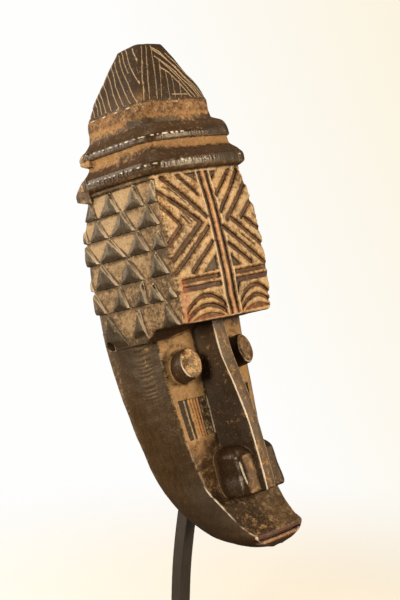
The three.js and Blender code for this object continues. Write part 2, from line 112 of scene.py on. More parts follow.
BLOCK = curve_table([
    # z, front y, set-back of the corner, half-width, middle of the side, rim x, y
    [142, 1.2, 6.2, 56.2, 66.0, 68.5, 88], [133, 0.4, 5.8, 56.6, 66.6, 69.4, 89.6], [118, -1.2, 4.8, 57.2, 68.3, 72.6, 93.4],
    [104, -2.2, 4.0, 57.8, 69.6, 75.0, 96], [90, -2.8, 3.4, 58.3, 70.4, 76.2, 97], [76, -3.1, 3.4, 58.6, 71.0, 77.2, 98],
    [62, -3.4, 3.8, 58.6, 71.2, 77.6, 98.5], [46, -3.4, 4.4, 58.3, 71.2, 77.8, 99], [32, -2.6, 5.0, 57.8, 71.0, 77.6, 99],
    [18, -1.2, 5.6, 57.2, 70.6, 77.2, 98.6], [3, 0.6, 5.8, 56.9, 70.0, 76.4, 98]])
HEAD = curve_table([
    # z, front y, bow, corner half-width, rim half-width, rim y, corner rounding
    [138, 3.0, 5, 56, 67, 86, 9], [141.5, 0.6, 5.4, 58.6, 68.4, 86.4, 9], [143.5, -3.5, 6, 61.5, 70.5, 87, 10], [146, -5.2, 6, 63.2, 73.0, 89, 10],
    [150, -5.4, 6, 63.4, 73.0, 89, 10], [153.5, -5.0, 6, 63.0, 72.4, 89, 10], [156, -3.0, 6, 61.4, 70.2, 87.5, 10], [166, 4.0, 6, 54.8, 61.8, 86, 10],
    [172, 4.4, 6, 54.4, 62.6, 87.6, 10], [173.4, 1.6, 6, 56.0, 66.6, 91.0, 10], [176.5, 1.5, 6, 55.8, 66.2, 90.4, 10], [179.2, 2.0, 6, 55.0, 65.0, 89.5, 10],
    [182, 3.8, 6, 53.2, 61.6, 86.5, 10], [191, 11.4, 6, 46.4, 55.6, 84.5, 11], [207.5, 12.0, 6, 46.2, 53.2, 83.6, 11], [210.5, 12.6, 6, 45.6, 51.4, 82.0, 11],
    [226, 15.3, 4.5, 39.8, 43.4, 78.5, 10], [242, 20.6, 4, 32.6, 33.2, 72.6, 9], [256, 25.6, 3.5, 25.4, 24.4, 68.0, 7], [264, 28.4, 3, 20.4, 18.6, 64.6, 5.5],
    [269, 30.6, 2.5, 17.2, 16.0, 62.6, 4.5], [273, 32.6, 2, 14.4, 14.0, 61.2, 4]])
NOSE = curve_table([
    # z, ridge y, ridge half-width, foot half-width
    [9, 24.5, 8.4, 16.0], [0, 23.2, 8.4, 16.0], [-26, 21.4, 8.3, 15.4], [-60, 13.2, 7.7, 15.8], [-103, 5.2, 7.0, 15.0],
    [-140, 2.6, 6.8, 13.5], [-157, 2.0, 6.6, 12.5], [-162, 2.6, 6.2, 12.0]])
RIGHT_Z = [139, 145, 156, 166, 173, 190, 200, 210, 218, 226, 238]
RIGHT_X = [0, 3.0, 3.4, 4.6, 4.8, 5.6, 4.2, 4.8, 4.4, 3.0, 0]
HOLLOW = curve_table([
    # z, half-width at the face, front y, half-width at the rim
    [-188, 10, 54, 12], [-180, 19, 48, 22], [-168, 27, 52, 31], [-150, 33, 57, 39], [-125, 38.5, 58.5, 48], [-100, 42.5, 58.5, 53.5],
    [-60, 46.5, 58.5, 61], [-30, 48.5, 58.5, 65], [0, 49.5, 58, 66.5], [13, 49.5, 56, 66.5], [22, 47.5, 34, 67], [36, 47, 20, 67.5],
    [80, 47.5, 17, 67.5], [120, 46, 20, 63.5], [140, 40, 27, 56], [152, 28, 38, 43], [157, 16, 50, 27]])
PEGS = {-1: (37.6, 31.3, -31.0, 12.0, 14.8), 1: (36.6, 31.3, -29.8, 10.6, 14.8)}
WINGS = {-1: 26.3, 1: 28.4}


# ------------------------------------------------------------------ small field tools
def cut(a, b, r):
    """both a and b, with the edge between them rounded to r"""
    u, v = np.maximum(r + a, 0), np.maximum(r + b, 0)
    return np.minimum(-r, np.maximum(a, b)) + np.sqrt(u * u + v * v)


def join(a, b, r):
    """a or b, with a fillet of r between them"""
    return -cut(-a, -b, r)


def ease(a, b, v):
    t = np.clip((v - a) / (b - a), 0, 1)
    return t * t * (3 - 2 * t)


def bell(v, w):
    return np.exp(-(v / w) ** 2)


def seg(px, pz, a, b, c, d):
    """distance to the line from (a, b) to (c, d)"""
    vx, vz = c - a, d - b
    t = np.clip(((px - a) * vx + (pz - b) * vz) / (vx * vx + vz * vz), 0, 1)
    return np.hypot(px - a - t * vx, pz - b - t * vz)


def path_dist(px, pz, pts):
    out = np.full(px.shape, 99.0, np.float32)
    for (a, b), (c, d) in zip(pts, pts[1:]):
        out = np.minimum(out, seg(px, pz, a, b, c, d))
    return out


def poly(px, pz, pts):
    """signed distance-like value of a convex outline, negative inside"""
    n = len(pts)
    area = sum(pts[i][0] * pts[(i + 1) % n][1] - pts[(i + 1) % n][0] * pts[i][1] for i in range(n))
    s = 1 if area > 0 else -1
    out = np.full(px.shape, -99.0, np.float32)
    for i in range(n):
        (a, b), (c, d) = pts[i], pts[(i + 1) % n]
        l = math.hypot(c - a, d - b)
        out = np.maximum(out, s * ((d - b) * (px - a) - (c - a) * (pz - b)) / l)
    return out


rng = np.random.default_rng(7)


def waves(n, long_mm, short_mm):
    """a smooth seeded wobble made of a few sines"""
    k = rng.normal(size=(n, 3))
    k /= np.linalg.norm(k, axis=1)[:, None]
    k *= (2 * math.pi / np.exp(rng.uniform(math.log(short_mm), math.log(long_mm), n)))[:, None]
    return k.astype(np.float32), rng.uniform(0, 6.283, n).astype(np.float32)


WOBBLE = waves(7, 60, 22)
TOOLED = waves(8, 16, 6.5)


def wobble(w, x, y, z):
    k, p = w
    out = np.zeros_like(x)
    for (a, b, c), q in zip(k, p):
        out += np.sin(a * x + b * y + c * z + q)
    return out / math.sqrt(len(p))


# ------------------------------------------------------------------ the forehead's front
MID = 92.0
CUTS = [
    (-10, 97, -48, 138, 4.2), (-18, 92, -55, 124, 4.6), (-42, 92, -58, 112, 4.2), (-14, 119, -30, 138, 3.4),
    (-10, 87, -57, 52, 4.2), (-18, 92, -57, 64, 4.6), (-42, 92, -57, 80, 4.2), (-10, 73, -40, 49, 3.8),
    (10, 100, 50, 137, 4.2), (16, 92, 55, 124, 4.6), (36, 92, 55, 106, 4.2), (10, 116, 37, 138, 3.8),
    (8, 85, 53, 48, 4.2), (22, 92, 56, 64, 4.6), (41, 90, 56, 79, 4.0), (10, 69, 36, 49, 3.8)]
THIN = [(-29, 94, -36, 104, 1.3), (-32, 92.5, -39, 101, 1.1), (-30, 112, -44, 128, 1.0), (-30, 74, -47, 62, 1.0), (28, 104, 45, 118, 1.0), (30, 76, 46, 64, 1.0)]
DARK_TRI = [[(-10, 131), (-20, 138.5), (-10, 138.5)], [(-10, 61), (-10, 47.4), (-27, 47.4)],
            [(10, 131), (18, 138), (10, 138)], [(9, 59), (9, 48), (21, 48)], [(10, 36), (17, 36), (10, 23)]]


def front_pattern(x, z):
    """(depth of the carving from 0 to 1, nearness of the middle ridge)"""
    drift = 2.6 * (1 - ease(4, 27, z))
    g = np.zeros_like(x)

    def groove(d, w, deep=1.0, soft=0.55):
        nonlocal g
        g = np.maximum(g, deep * (1 - ease(w / 2 - soft, w / 2 + soft, d)))
        g = np.maximum(g, 0.3 * deep * (1 - ease(w / 2, w / 2 + 2.1, d)))
    xm = x - drift
    for s in (-1, 1):
        groove(np.where((z > 4) & (z < 141), np.abs(xm - s * 4.3), 9), 3.7)
        groove(np.where((np.abs(x) > 9.5) & (x * s > 0), np.abs(z - 42), 9), 3.8)
        groove(np.where((np.abs(x) > 9.5) & (x * s > 0), np.abs(z - 34.6), 9), 4.6, 0.8)
    for a, b, c, d, w in CUTS:
        if abs(c) > 52:                          # these run out over the corner
            k = 9 / math.hypot(c - a, d - b)
            c, d = c + (c - a) * k, d + (d - b) * k
        groove(seg(x, z, a, b, c, d), w)
    for a, b, c, d, w in THIN:
        groove(seg(x, z, a, b, c, d), w, 0.55, 0.4)
    for t in DARK_TRI:
        groove(poly(x, z, t) + 1.0, 2.0, 0.9)
    for cx, rows in ((-30.5, ((26.3, 0.0235), (17.4, 0.0185))), (35.5, ((27, 0.0235), (17.4, 0.0185)))):
        dx = x - cx
        for zp, k in rows:
            groove(np.where(np.abs(dx) < 23.5, np.abs(z - zp + k * dx * dx) / np.sqrt(1 + (2 * k * dx) ** 2), 9), 3.4)
        # the small field under the lowest arc
        groove(np.where(np.abs(dx) < 19, np.maximum(z - (10.4 - 0.014 * dx * dx), 5.2 - z) + 1.5, 9), 3.0, 0.55)
    edge = np.where((x < 0) & (z < 47), 1 - ease(54.0, 56.5, -x), 1)
    edge = edge * ease(3.6, 5.0, z) * (1 - ease(138.5, 140, z))
    return g * edge, bell(xm, 1.8)


# ------------------------------------------------------------------ the raised triangles on the sides
TRI = [  # apex y, z, base from y, to y, base z
    (59, 137, 72, 49, 117.6), (30, 138, 41, 22, 117.6), (11, 137, 16.5, 7, 117.6), (85, 137, 93, 77, 117.6),
    (78, 115, 89, 67, 97.6), (47, 117, 62, 35.5, 97.6), (19, 116.5, 31, 9, 97.6), (99, 114, 104, 93, 98),
    (98, 95.5, 106, 84, 76.4), (67, 96, 80.5, 50.5, 76.2), (33, 96, 46, 24.5, 76), (12.5, 91, 20, 6.5, 76),
    (82, 74.5, 94, 66.5, 52.8), (49, 73.5, 62, 37, 52.5), (19.5, 73, 28, 9.5, 52.3), (103, 73, 110, 98, 52.8),
    (99, 50, 106, 87.5, 30.4), (66, 50.5, 78, 59, 30), (40, 50.5, 50, 38.5, 30), (29, 46.5, 36.5, 21.5, 29.6), (12.5, 39, 16, 7.5, 29.6),
    (87, 27.5, 99, 69, -3), (51, 26, 62.5, 47.5, 2), (20.5, 27, 29, 12.5, 5.6)]
ROWS = np.array([5.0, 30.2, 52.6, 76.2, 97.6, 117.6, 140.0])


def side_pattern(y, z, s):
    """(height over the carved ground, inside value of the nearest triangle, worn right-hand edge that also carries a
    painted highlight)
    """
    u = np.full(y.shape, 99.0, np.float32)
    worn_and_highlit_edge = np.zeros_like(y)
    flank = np.zeros_like(y)
    for k, (ay, az, b0, b1, bz) in enumerate(TRI):
        j = 0.0 if s < 0 else 1.1 * math.sin(2.3 * k + 0.7)
        ins = poly(y, z, [(b1 + j, bz), (b0 + j, bz), (ay + j, az)])
        u = np.minimum(u, ins)
        if bz > 0 and k not in (3,):
            worn_and_highlit_edge = np.maximum(worn_and_highlit_edge, bell(seg(y, z, b1 + j, bz, ay + j, az), 0.8))
            flank = np.maximum(flank, bell(seg(y, z, b1 + j - 1.5, bz + 1.0, ay + j - 1.5, az - 1.5), 1.2))
    i = np.clip(np.searchsorted(ROWS, z) - 1, 0, 5)
    frac = np.clip((z - ROWS[i]) / (ROWS[i + 1] - ROWS[i]), 0, 1)
    dome = 1 - (1 - np.clip(-u / 6.5, 0, 1)) ** 2
    high = 1.35 + 1.15 * dome + 0.2 * (1 - frac)
    low = 0.25 - 2.2 * frac ** 1.25 - 0.35 * flank
    top = 1 - ease(-0.7, 0.5, u)
    h = low + (high - low) * top
    fade = ease(2, 8, z) + (1 - ease(2, 8, z)) * ease(50, 66, y)
    h = h * fade * (1 - ease(136.5, 139.5, z)) + 1.0 * ease(137, 139.5, z)
    # under the last row the ground closes into the plain side
    low_fade = ease(-6, 4, z)
    front = ease(5.5, 8.5, y)
    notch = 0.8 + 0.6 * np.sin(0.41 * z + 1.9 * np.sin(0.17 * z)) + 0.3 * np.sin(0.97 * z + 2.0 * np.sin(0.29 * z))
    h = h * low_fade * front + notch * (1 - front) * ease(4, 8, z)
    return h, u, worn_and_highlit_edge * front, flank * front * (1 - top)


# ------------------------------------------------------------------ the cap's incised lines
CAP_SIDE = [
    [(-4.4, 266.5), (-2.2, 259), (0.2, 252)],
    [(-15.6, 269.3), (-10.2, 257.6), (-5.7, 244.6), (-3.0, 234.4), (-0.4, 229)],
    [(-21.6, 268), (-20.6, 266.3), (-14.3, 251.6), (-10.4, 243.0)],
    [(-26.6, 266.5), (-24.0, 261.0), (-19.1, 249.0), (-12.3, 234.3), (-8.3, 223.1), (-3.9, 213.3), (-2.6, 210.2)],
    [(-32.0, 261.5), (-27.9, 251.8), (-21.5, 237.3), (-16.2, 224.5), (-10.3, 214.3), (-7.6, 210.2)],
    [(-37.0, 258), (-32.3, 249.1), (-28.4, 234.2), (-22.9, 222.6), (-17.8, 213.6), (-16.0, 210.2)],
    [(-42.0, 252), (-36.7, 242.1), (-32.0, 227.2), (-26.3, 216.9), (-22.0, 211.0)],
    [(-48.5, 245), (-42.7, 234.6), (-38.6, 223.2), (-33.4, 212.3), (-32.4, 210.2)],
    [(-52.6, 237), (-47.1, 226.7), (-42.2, 216.6), (-39.2, 210.2)],
    [(-55.5, 232.5), (-50.4, 223.7), (-46.9, 214.1), (-45.2, 210.2)],
    [(-58.5, 229), (-53.6, 220.7), (-50.7, 210.2)], [(-61.5, 222), (-57.6, 217), (-55.8, 210.2)], [(-64.5, 218), (-61.0, 210.2)]]
CAP_FRONT = [
    [(-0.6, 254.5), (3.8, 246.1), (5.1, 239.7)], [(-0.4, 231), (4.5, 224.8)],
    [(6.1, 266.5), (6.7, 263.8), (7.9, 252.4), (7.6, 240.1), (7.4, 232.0), (8.7, 220.1), (9.2, 210.4)],
    [(11.2, 267), (11.7, 264.0), (12.8, 254.0), (13.1, 241.5), (12.6, 229.3), (13.6, 219.5), (14.8, 210.4)],
    [(17.0, 266), (17.7, 263.2), (20.0, 251.4), (21.2, 238.8), (21.4, 226.6), (22.4, 216.8), (23.1, 210.4)],
    [(27.6, 252.5), (27.7, 238.6), (27.3, 226.3), (27.8, 210.4)],
    [(34.2, 240), (34.6, 236.2), (35.7, 223.8), (38.0, 210.4)],
    [(41.2, 234), (41.5, 231.7), (43.4, 219.7), (44.8, 210.4)], [(50.5, 229), (52.1, 217.3), (52.8, 210.4)],
    [(40.0, 215.7), (60.7, 215.2)],
    [(16.0, 266.5), (17.3, 264.7), (27.8, 260.2), (39.3, 250.5), (47.9, 243.9), (60.5, 232.3), (73.5, 221.8), (87, 211)],
    [(18.8, 262.5), (30.6, 256.5), (42.2, 247.9), (54.3, 237.1), (66.0, 225.3), (82, 211)],
    [(21.5, 255.6), (33.7, 247.9), (43.5, 241.4), (54.5, 231.7), (65.7, 223.2), (79.1, 210.5)],
    [(28.9, 250.7), (40.2, 241.2), (49.7, 232.6), (59.6, 223.1), (73.7, 210.4)],
    [(27.8, 243.7), (37.4, 238.2), (45.7, 230.7), (55.4, 222.2), (67.9, 210.4)],
    [(36, 259), (48, 249.5), (60, 238.8), (72, 228), (84, 217.5), (91, 211)]]


def cap_lines(u, z):
    """distance to the nearest incised line, in millimetres"""
    out = np.full(u.shape, 99.0, np.float32)
    for pts in CAP_SIDE + CAP_FRONT:
        out = np.minimum(out, path_dist(u, z, pts))
    return out


# ------------------------------------------------------------------ the cheek panels
def cheek_panel(x, z):
    """(recess 0..1, place across the panel in mm from its outer edge, inside 0..1)"""
    ax = np.abs(x)
    f = np.clip((-64.5 - z) / 36.5, -0.1, 1.1)
    outer = 46.8 + (43.8 - 46.8) * f
    inner = 16.2 + (15.4 - 16.2) * f
    top, bottom = -64.2 + 0.03 * (ax - 30), -101.2 - 0.04 * (ax - 30)
    d = np.maximum(np.maximum(ax - outer, inner - ax), np.maximum(z - top, bottom - z))
    inside = 1 - ease(-0.45, 0.45, d)
    q = (outer - ax) / (outer - inner) * 31.0        # 0 at the outer edge, 31 at the nose side
    ridge = bell(q - 6.3, 0.9) * 0.9                 # thin light ridge
    band = ease(9.6, 10.6, q) * (1 - ease(21.2, 22.2, q)) * 0.75 - 0.16 * bell(q - 15.8, 0.6) - 0.1 * bell(q - 18.6, 0.5)
    grey = ease(22.4, 23.4, q) * (1 - ease(29.8, 30.6, q)) * 0.55
    return inside, q, np.maximum(np.maximum(ridge, band), grey)


# ------------------------------------------------------------------ the whole mask as one field, negative inside the wood
def side_x(xe, xm, xr, t):
    return xe * (1 - t) * (1 - 2 * t) + xm * 4 * t * (1 - t) + xr * t * (2 * t - 1)


def field(p):
    x, y, z = p[:, 0].astype(np.float32), p[:, 1].astype(np.float32), p[:, 2].astype(np.float32)
    ax = np.abs(x)
    out = np.full(x.shape, 60.0, np.float32)

    # lower hull, cheeks and chin
    m = np.where(z < 17)[0]
    if len(m):
        X, Y, Z = ax[m], y[m], z[m]
        xe, ye, xm, xr, yr, yn = read(HULL, Z)
        x0 = np.minimum(15.0, xe * 0.45)
        yf = yn + (ye - yn) * np.clip((X - x0) / (xe - x0), 0, 1.25)
        t = np.clip((Y - ye) / (yr - ye), -0.35, 1.12)
        f = cut((yf - Y) * 0.98, (X - side_x(xe, xm, xr, t)) * 0.94, np.float32(0.9))
        f = cut(f, Y - (yr + 2.2), 2.4)
        f = cut(f, -212.3 - Z, 2.5)
        f = cut(f, Z - 13, 0.8)
        sx = x[m]
        rim = bell(X - (xe - 1.6), 1.5) * (1 - ease(-10, -2, Z)) * (np.abs(yf - Y) < 6)
        f = f - (0.55 + 0.25 * np.sin(2.1 * Z + 1.5 * np.sin(0.6 * Z)) * ease(-100, -60, Z)) * rim
        flat = ease(4, 10, Y - ye)
        ripple = bell(Y - 64, 7) * ease(-66, -50, Z) * (1 - ease(-10, -3, Z))
        f = f + flat * (0.12 * ripple * np.sin(1.5 * Z + 1.1 * np.sin(0.3 * Y) + 1.6 * np.sin(0.23 * Z)) + 0.12 * np.sin(0.42 * Y + 0.05 * Z + 0.9 * np.sin(0.07 * Z)))
        inside, q, lift = cheek_panel(sx, Z)
        near = (np.abs(yf - Y) < 5) & (inside > 0)
        f = np.where(near, f + inside * (1.7 - 1.5 * lift), f)
        out[m] = f

    # forehead block
    m = np.where((z > -5) & (z < 147))[0]
    if len(m):
        X, Y, Z = ax[m], y[m], z[m]
        sx = x[m]
        yf, dy, xc, xm, xr, yr = read(BLOCK, Z)
        y0 = yf + dy + 1.6
        t = np.clip((Y - y0) / (yr - y0), -0.2, 1.12)
        front = yf + dy * np.clip(X / xc, 0, 1.15) ** 1.4 - Y
        side = X - side_x(xc, xm, xr, t)
        a = np.where(np.abs(front) < 8)[0]
        if len(a):
            g, _ = front_pattern(sx[a], Z[a])
            front[a] += g * 2.5
        b = np.where(np.abs(side) < 9)[0]
        if len(b):
            h = np.where(sx[b] < 0, side_pattern(Y[b], Z[b], -1)[0], side_pattern(Y[b], Z[b], 1)[0])
            side[b] -= h
        f = cut(front * 0.99, side * 0.96, 1.6)
        f = cut(f, Y - (yr + 2.2), 2.4)
        low = 2.9 - 1.7 * sx / 57 - Z
        back = np.where(sx < 0, 38, 66)
        low = np.where(Y > back, low - (Y - back) * 0.9, low)
        low = np.where(sx > 0, cut(low * 0.98, side * 0.96, 6.0), low)
        f = cut(f, np.maximum(low, Z - 141.5), 1.9)
        out[m] = join(out[m], f, 0.7)

    # rings and cap
    m = np.where(z > 132)[0]
    if len(m):
        X, Y, Z = ax[m], y[m], z[m]
        sx = x[m]
        # the right-hand ends of the slopes stand a little higher, and reach out further
        zz = Z - ease(20, 50, sx) * (4.4 * bell(Z - 188, 7.5) + 1.2 * bell(Z - 160, 5))
        yf, dy, xc, xb, yb, rc = read(HEAD, zz)
        X = X - np.interp(Z, RIGHT_Z, RIGHT_X).astype(np.float32) * ease(4, 42, sx) * (1 - ease(30, 72, Y))
        y0 = yf + dy + rc * 0.75
        t = np.clip((Y - y0) / (yb - y0), -0.25, 1.08)
        front = yf + dy * np.clip(X / xc, 0, 1.2) ** 2 - Y
        side = X - (xc + (xb - xc) * (1.25 * t - 0.25 * t * t))
        steep = np.where(Z > 209, 0.9, 0.8).astype(np.float32)
        # upright tool marks over the two rims and across the slopes
        run = np.where(side > front, -Y, sx)
        mark = np.sin(1.75 * run + 1.3 * np.sin(0.31 * run)) * 0.6 + np.sin(1.02 * run + 2.0 + 0.8 * np.sin(0.47 * run + Z * 0.15)) * 0.5
        rim = bell(Z - 148.5, 4.2) + bell(Z - 176.5, 3.6)
        slope = bell(Z - 158.5, 4.0) + bell(Z - 186, 4.0)
        cutin = mark * (0.13 * rim + 0.07 * slope) * (0.6 + 0.4 * np.sin(0.13 * run + 1.0)) * (Z < 200)
        cutin = cutin + 0.35 * slope * np.sin(0.21 * run + 1.0) * np.sin(0.13 * run + 0.3 * np.sin(0.4 * run))
        # a broad flat strip, worn and plain, along the back of the rings
        f = cut(front * steep, side * steep, rc) + cutin
        f = cut(f, (Y - (yb + 1.2)), np.where(Z > 209, 1.6, 3.4).astype(np.float32))
        near = np.where((np.abs(f) < 4) & (Z > 209.5))[0]
        if len(near):
            on_side = side[near] * steep[near] > front[near] * steep[near]
            u = np.where(on_side, -(Y[near] - (yf[near] + dy[near] * 0.9 + 1)), sx[near] + xc[near])
            mirrored = on_side & (sx[near] > 0)
            u = np.where(mirrored, u + 0.9, u)
            d = cap_lines(u, Z[near])
            f[near] += 0.5 * (1 - ease(0.25, 0.95, d)) * ease(209.5, 210.6, Z[near])
        f = cut(f, np.maximum(134 - Z, Z - 269.6 - 0.02 * (Y - 45)), 1.5)
        out[m] = join(out[m], f, 0.9)
        # flared back ends of the two rings
        for pts, x0, x1 in (([(80, 156), (84, 155), (90.2, 152), (96.5, 147.7), (100.3, 142.8), (100.6, 137.2), (90, 133.9), (80, 132.4)], 63, 73.2),
                            ([(78, 181), (85.5, 178.6), (91.3, 175.6), (92.2, 169.8), (86, 166.7), (78, 166.6)], 55, 65.8)):
            k = np.where((np.abs(Y - 90) < 22) & (Z < 190))[0]
            if len(k):
                g = cut(poly(Y[k], Z[k], pts), np.maximum(x0 - X[k], X[k] - x1 - (Z[k] - pts[3][1]) * 0.06), 1.8)
                out[m[k]] = join(out[m[k]], g, 1.2)

    # nose
    m = np.where((ax < 24) & (z < 14) & (z > -170) & (y < 56))[0]
    if len(m):
        X, Y, Z = ax[m], y[m], z[m]
        yr, h, ft = read(NOSE, Z)
        w = h + 2.2 * np.clip((Y - yr - 1.2) / 10.8, 0, 1) + (ft - h - 2.2) * np.clip((Y - yr - 12) / np.maximum(46 - yr - 12, 2), 0, 1.1) ** 1.2
        f = cut((X - w) * 0.96, (yr - 0.5 * bell(X, 5) - Y) * 0.98, 0.8)
        f = np.where(x[m] > 0, cut(f, (X - h + 2.0 - (Y - yr)) * 0.7, 0.8), f)
        f = cut(f, Y - 54, 1)
        f = cut(f, np.maximum(-160.6 - Z - 0.06 * (Y - 10), Z - 12), 1.3)
        out[m] = join(out[m], f, 1.4)

    # eye pegs
    for s, (px, py, pz, rx, rz) in PEGS.items():
        m = np.where((np.abs(x - s * px) < 19) & (np.abs(z - pz) < 21) & (y < 60))[0]
        if len(m):
            a, b = math.radians(s * 8), math.radians(-10)
            X, Y, Z = x[m] - s * px, y[m] - py, z[m] - pz
            X, Y = X * math.cos(a) + Y * math.sin(a), -X * math.sin(a) + Y * math.cos(a)
            Y, Z = Y * math.cos(b) + Z * math.sin(b), -Y * math.sin(b) + Z * math.cos(b)
            q = np.sqrt((X / rx) ** 2 + (Z / rz) ** 2)
            f = cut((q - 1) * 12.2 - 0.02 * Y, -Y - 1.3 * (1 - q * q), 2.4 if s < 0 else 4.2)
            f = cut(f, Y - 25, 1)
            out[m] = join(out[m], f, 1.3)

    # nostril wings
    m = np.where((ax < 36) & (z < -108) & (z > -168) & (y < 56))[0]
    if len(m):
        X, Y, Z = ax[m], y[m], z[m]
        w = np.where(x[m] < 0, WINGS[-1], WINGS[1]).astype(np.float32) + 2.0 * ease(-140, -157, Z) - 0.3
        yf = np.interp(Z, [-165, -150, -124, -117, -112], [5.6, 6.8, 10.0, 13.4, 19]).astype(np.float32) + 0.1 * X
        f = cut((X - w) * 1.0, (Z + 114.6 + 0.05 * (Y - 20)) * 1.0, 12.5)
        f = cut(f, (yf - Y) * 0.97, 9.0)
        f = cut(f, -161.2 - Z, 3.2)
        f = cut(f, Y - 52, 1)
        out[m] = join(out[m], f, 1.2)

    # lip: a slit across the tip
    m = np.where((z < -194) & (y < 16))[0]
    if len(m):
        X, Y, Z = ax[m], y[m], z[m]
        mid = -201.6 - 0.5 * (1 - (X / 27) ** 2)
        half = 1.0 * np.sqrt(np.clip(1 - (X / 28.5) ** 2, 0, 1)) + 0.01
        g = cut(np.abs(Z - mid) - half, Y - 7.6, 0.6)
        g = np.maximum(g, X - 28)
        out[m] = cut(out[m], -g, 0.5)

    # hollow behind
    m = np.where((z > -194) & (z < 162) & (y > 10))[0]
    if len(m):
        X, Y, Z = ax[m], y[m], z[m]
        xf, yf, xr = read(HOLLOW, Z)
        t = np.clip((Y - yf - 4.5) / (95.5 - yf), 0, 1.1)
        w = xf + (xr - xf) * (1.3 * t - 0.3 * t * t)
        # shallow gouge marks
        su = np.sin(0.41 * (x[m] + Y) + 1.7 * np.sin(0.11 * Z)) * np.sin(0.23 * Z + 0.9 * np.sin(0.19 * X))
        f = cut(X - w, yf - Y, 5.0)
        f = cut(f, np.maximum(-188 - Z, Z - 157), 4.0) - 0.28 * su
        out[m] = cut(out[m], -f, 1.4)

    # cord holes at the rim
    m = np.where((np.abs(z + 1) < 9) & (y > 82) & (ax > 52))[0]
    if len(m):
        yy = y[m] - (92 + (ax[m] - 76) * 0.24)
        f = np.hypot(yy * 0.97, z[m] + 1) - 4.2
        out[m] = cut(out[m], -f, 0.9)

    # hand-carved unevenness
    out += 0.16 * wobble(WOBBLE, x, y, z) + 0.10 * wobble(TOOLED, x, y, z)
    return out


# ------------------------------------------------------------------ surface of the field
def surface(lo, hi, h0, levels):
    lo = np.array(lo, float)
    n = np.ceil((np.array(hi) - lo) / h0).astype(int)
    corner = np.array([[i, j, k] for i in (0, 1) for j in (0, 1) for k in (0, 1)])

    def key(c):
        return (c[:, 0].astype(np.int64) << 40) | (c[:, 1].astype(np.int64) << 20) | c[:, 2].astype(np.int64)

    cells = np.stack(np.meshgrid(*[np.arange(v) for v in n], indexing="ij"), -1).reshape(-1, 3)
    h = h0
    for level in range(levels + 1):
        kk = key(cells)
        offs = key(corner)
        ck = kk[:, None] + offs[None, :]
        uk, inv = np.unique(ck.reshape(-1), return_inverse=True)
        pts = np.stack([uk >> 40, (uk >> 20) & 0xFFFFF, uk & 0xFFFFF], 1) * h + lo
        f = np.concatenate([field(pts[i:i + 400000]) for i in range(0, len(pts), 400000)])
        fc = f[inv].reshape(-1, 8)
        a, b = fc.min(1), fc.max(1)
        if level == levels:
            keep = (a < 0) & (b >= 0)
            cells, fc = cells[keep], fc[keep]
            break
        keep = ((a < 0) & (b >= 0)) | (np.abs(fc).min(1) < 1.05 * h)
        cells = (cells[keep][:, None, :] * 2 + corner[None]).reshape(-1, 3)
        h /= 2
    # one point in each crossed cell, at the mean of its crossed edges
    kk = key(cells)
    order = np.argsort(kk)
    kk, cells, fc = kk[order], cells[order], fc[order]
    total = np.zeros((len(cells), 3))
    count = np.zeros(len(cells))
    for i in range(8):
        for ax in range(3):
            if corner[i][ax]:
                continue
            j = i + (4, 2, 1)[ax]
            fa, fb = fc[:, i], fc[:, j]
            m = (fa < 0) != (fb < 0)
            t = np.where(m, fa / np.where(m, fa - fb, 1), 0)
            pt = corner[i][None, :].astype(float).repeat(len(cells), 0)
            pt[:, ax] = t
            total += pt * m[:, None]
            count += m
    verts = (cells + total / count[:, None]) * h + lo
    # faces round each crossed grid edge
    quads = []
    for ax in range(3):
        b, c = (ax + 1) % 3, (ax + 2) % 3
        fa, fb = fc[:, 0], fc[:, (4, 2, 1)[ax]]
        m = np.where((fa < 0) != (fb < 0))[0]
        eb, ec = np.zeros(3, int), np.zeros(3, int)
        eb[b], ec[c] = 1, 1
        q = [key(cells[m] - o) for o in (0 * eb, eb, eb + ec, ec)]
        idx = [np.searchsorted(kk, v) for v in q]
        ok = np.ones(len(m), bool)
        for v, i in zip(q, idx):
            ok &= (i < len(kk)) & (kk[np.minimum(i, len(kk) - 1)] == v)
        f = np.stack(idx, 1)[ok]
        flip = (fa[m][ok] >= 0)
        f[flip] = f[flip][:, ::-1]
        quads.append(f)
    return verts, np.concatenate(quads), h


def gradient(p, e=0.12, f0=None):
    if f0 is None:
        g = np.stack([field(p + np.array(d) * e) - field(p - np.array(d) * e) for d in ((1, 0, 0), (0, 1, 0), (0, 0, 1))], 1) / (2 * e)
    else:
        g = np.stack([field(p + np.array(d) * e) - f0 for d in ((1, 0, 0), (0, 1, 0), (0, 0, 1))], 1) / e
    return g


def settle(v, steps=2, limit=0.6):
    for _ in range(steps):
        f = field(v)
        g = gradient(v, 0.15, f)
        s = f[:, None] * g / np.maximum((g * g).sum(1), 0.15)[:, None]
        l = np.linalg.norm(s, axis=1)
        s *= np.minimum(1, limit / np.maximum(l, 1e-6))[:, None]
        v = v - s
    return v


def build_mesh(name, verts, faces):
    me = bpy.data.meshes.new(name)
    me.vertices.add(len(verts))
    me.vertices.foreach_set("co", np.ascontiguousarray(verts, np.float32).ravel())
    k = faces.shape[1]
    me.loops.add(faces.size)
    me.loops.foreach_set("vertex_index", np.ascontiguousarray(faces, np.int32).ravel())
    me.polygons.add(len(faces))
    me.polygons.foreach_set("loop_start", np.arange(0, faces.size, k, dtype=np.int32))
    me.update(calc_edges=True)
    me.validate()
    return me


def mesh_arrays(me):
    v = np.empty(len(me.vertices) * 3, np.float32)
    me.vertices.foreach_get("co", v)
    me.calc_loop_triangles()
    t = np.empty(len(me.loop_triangles) * 3, np.int32)
    me.loop_triangles.foreach_get("vertices", t)
    return v.reshape(-1, 3).astype(float), t.reshape(-1, 3)


FINE = ((2, 3.4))
v, q, cell = surface((-84, -9, -216), (84, 105, 276), FINE[1], FINE[0])
v = settle(v, 2, 0.5 * cell)
tri = np.concatenate([q[:, [0, 1, 2]], q[:, [0, 2, 3]]])
print("surface", len(v), "points", len(tri), "triangles, cell", cell)

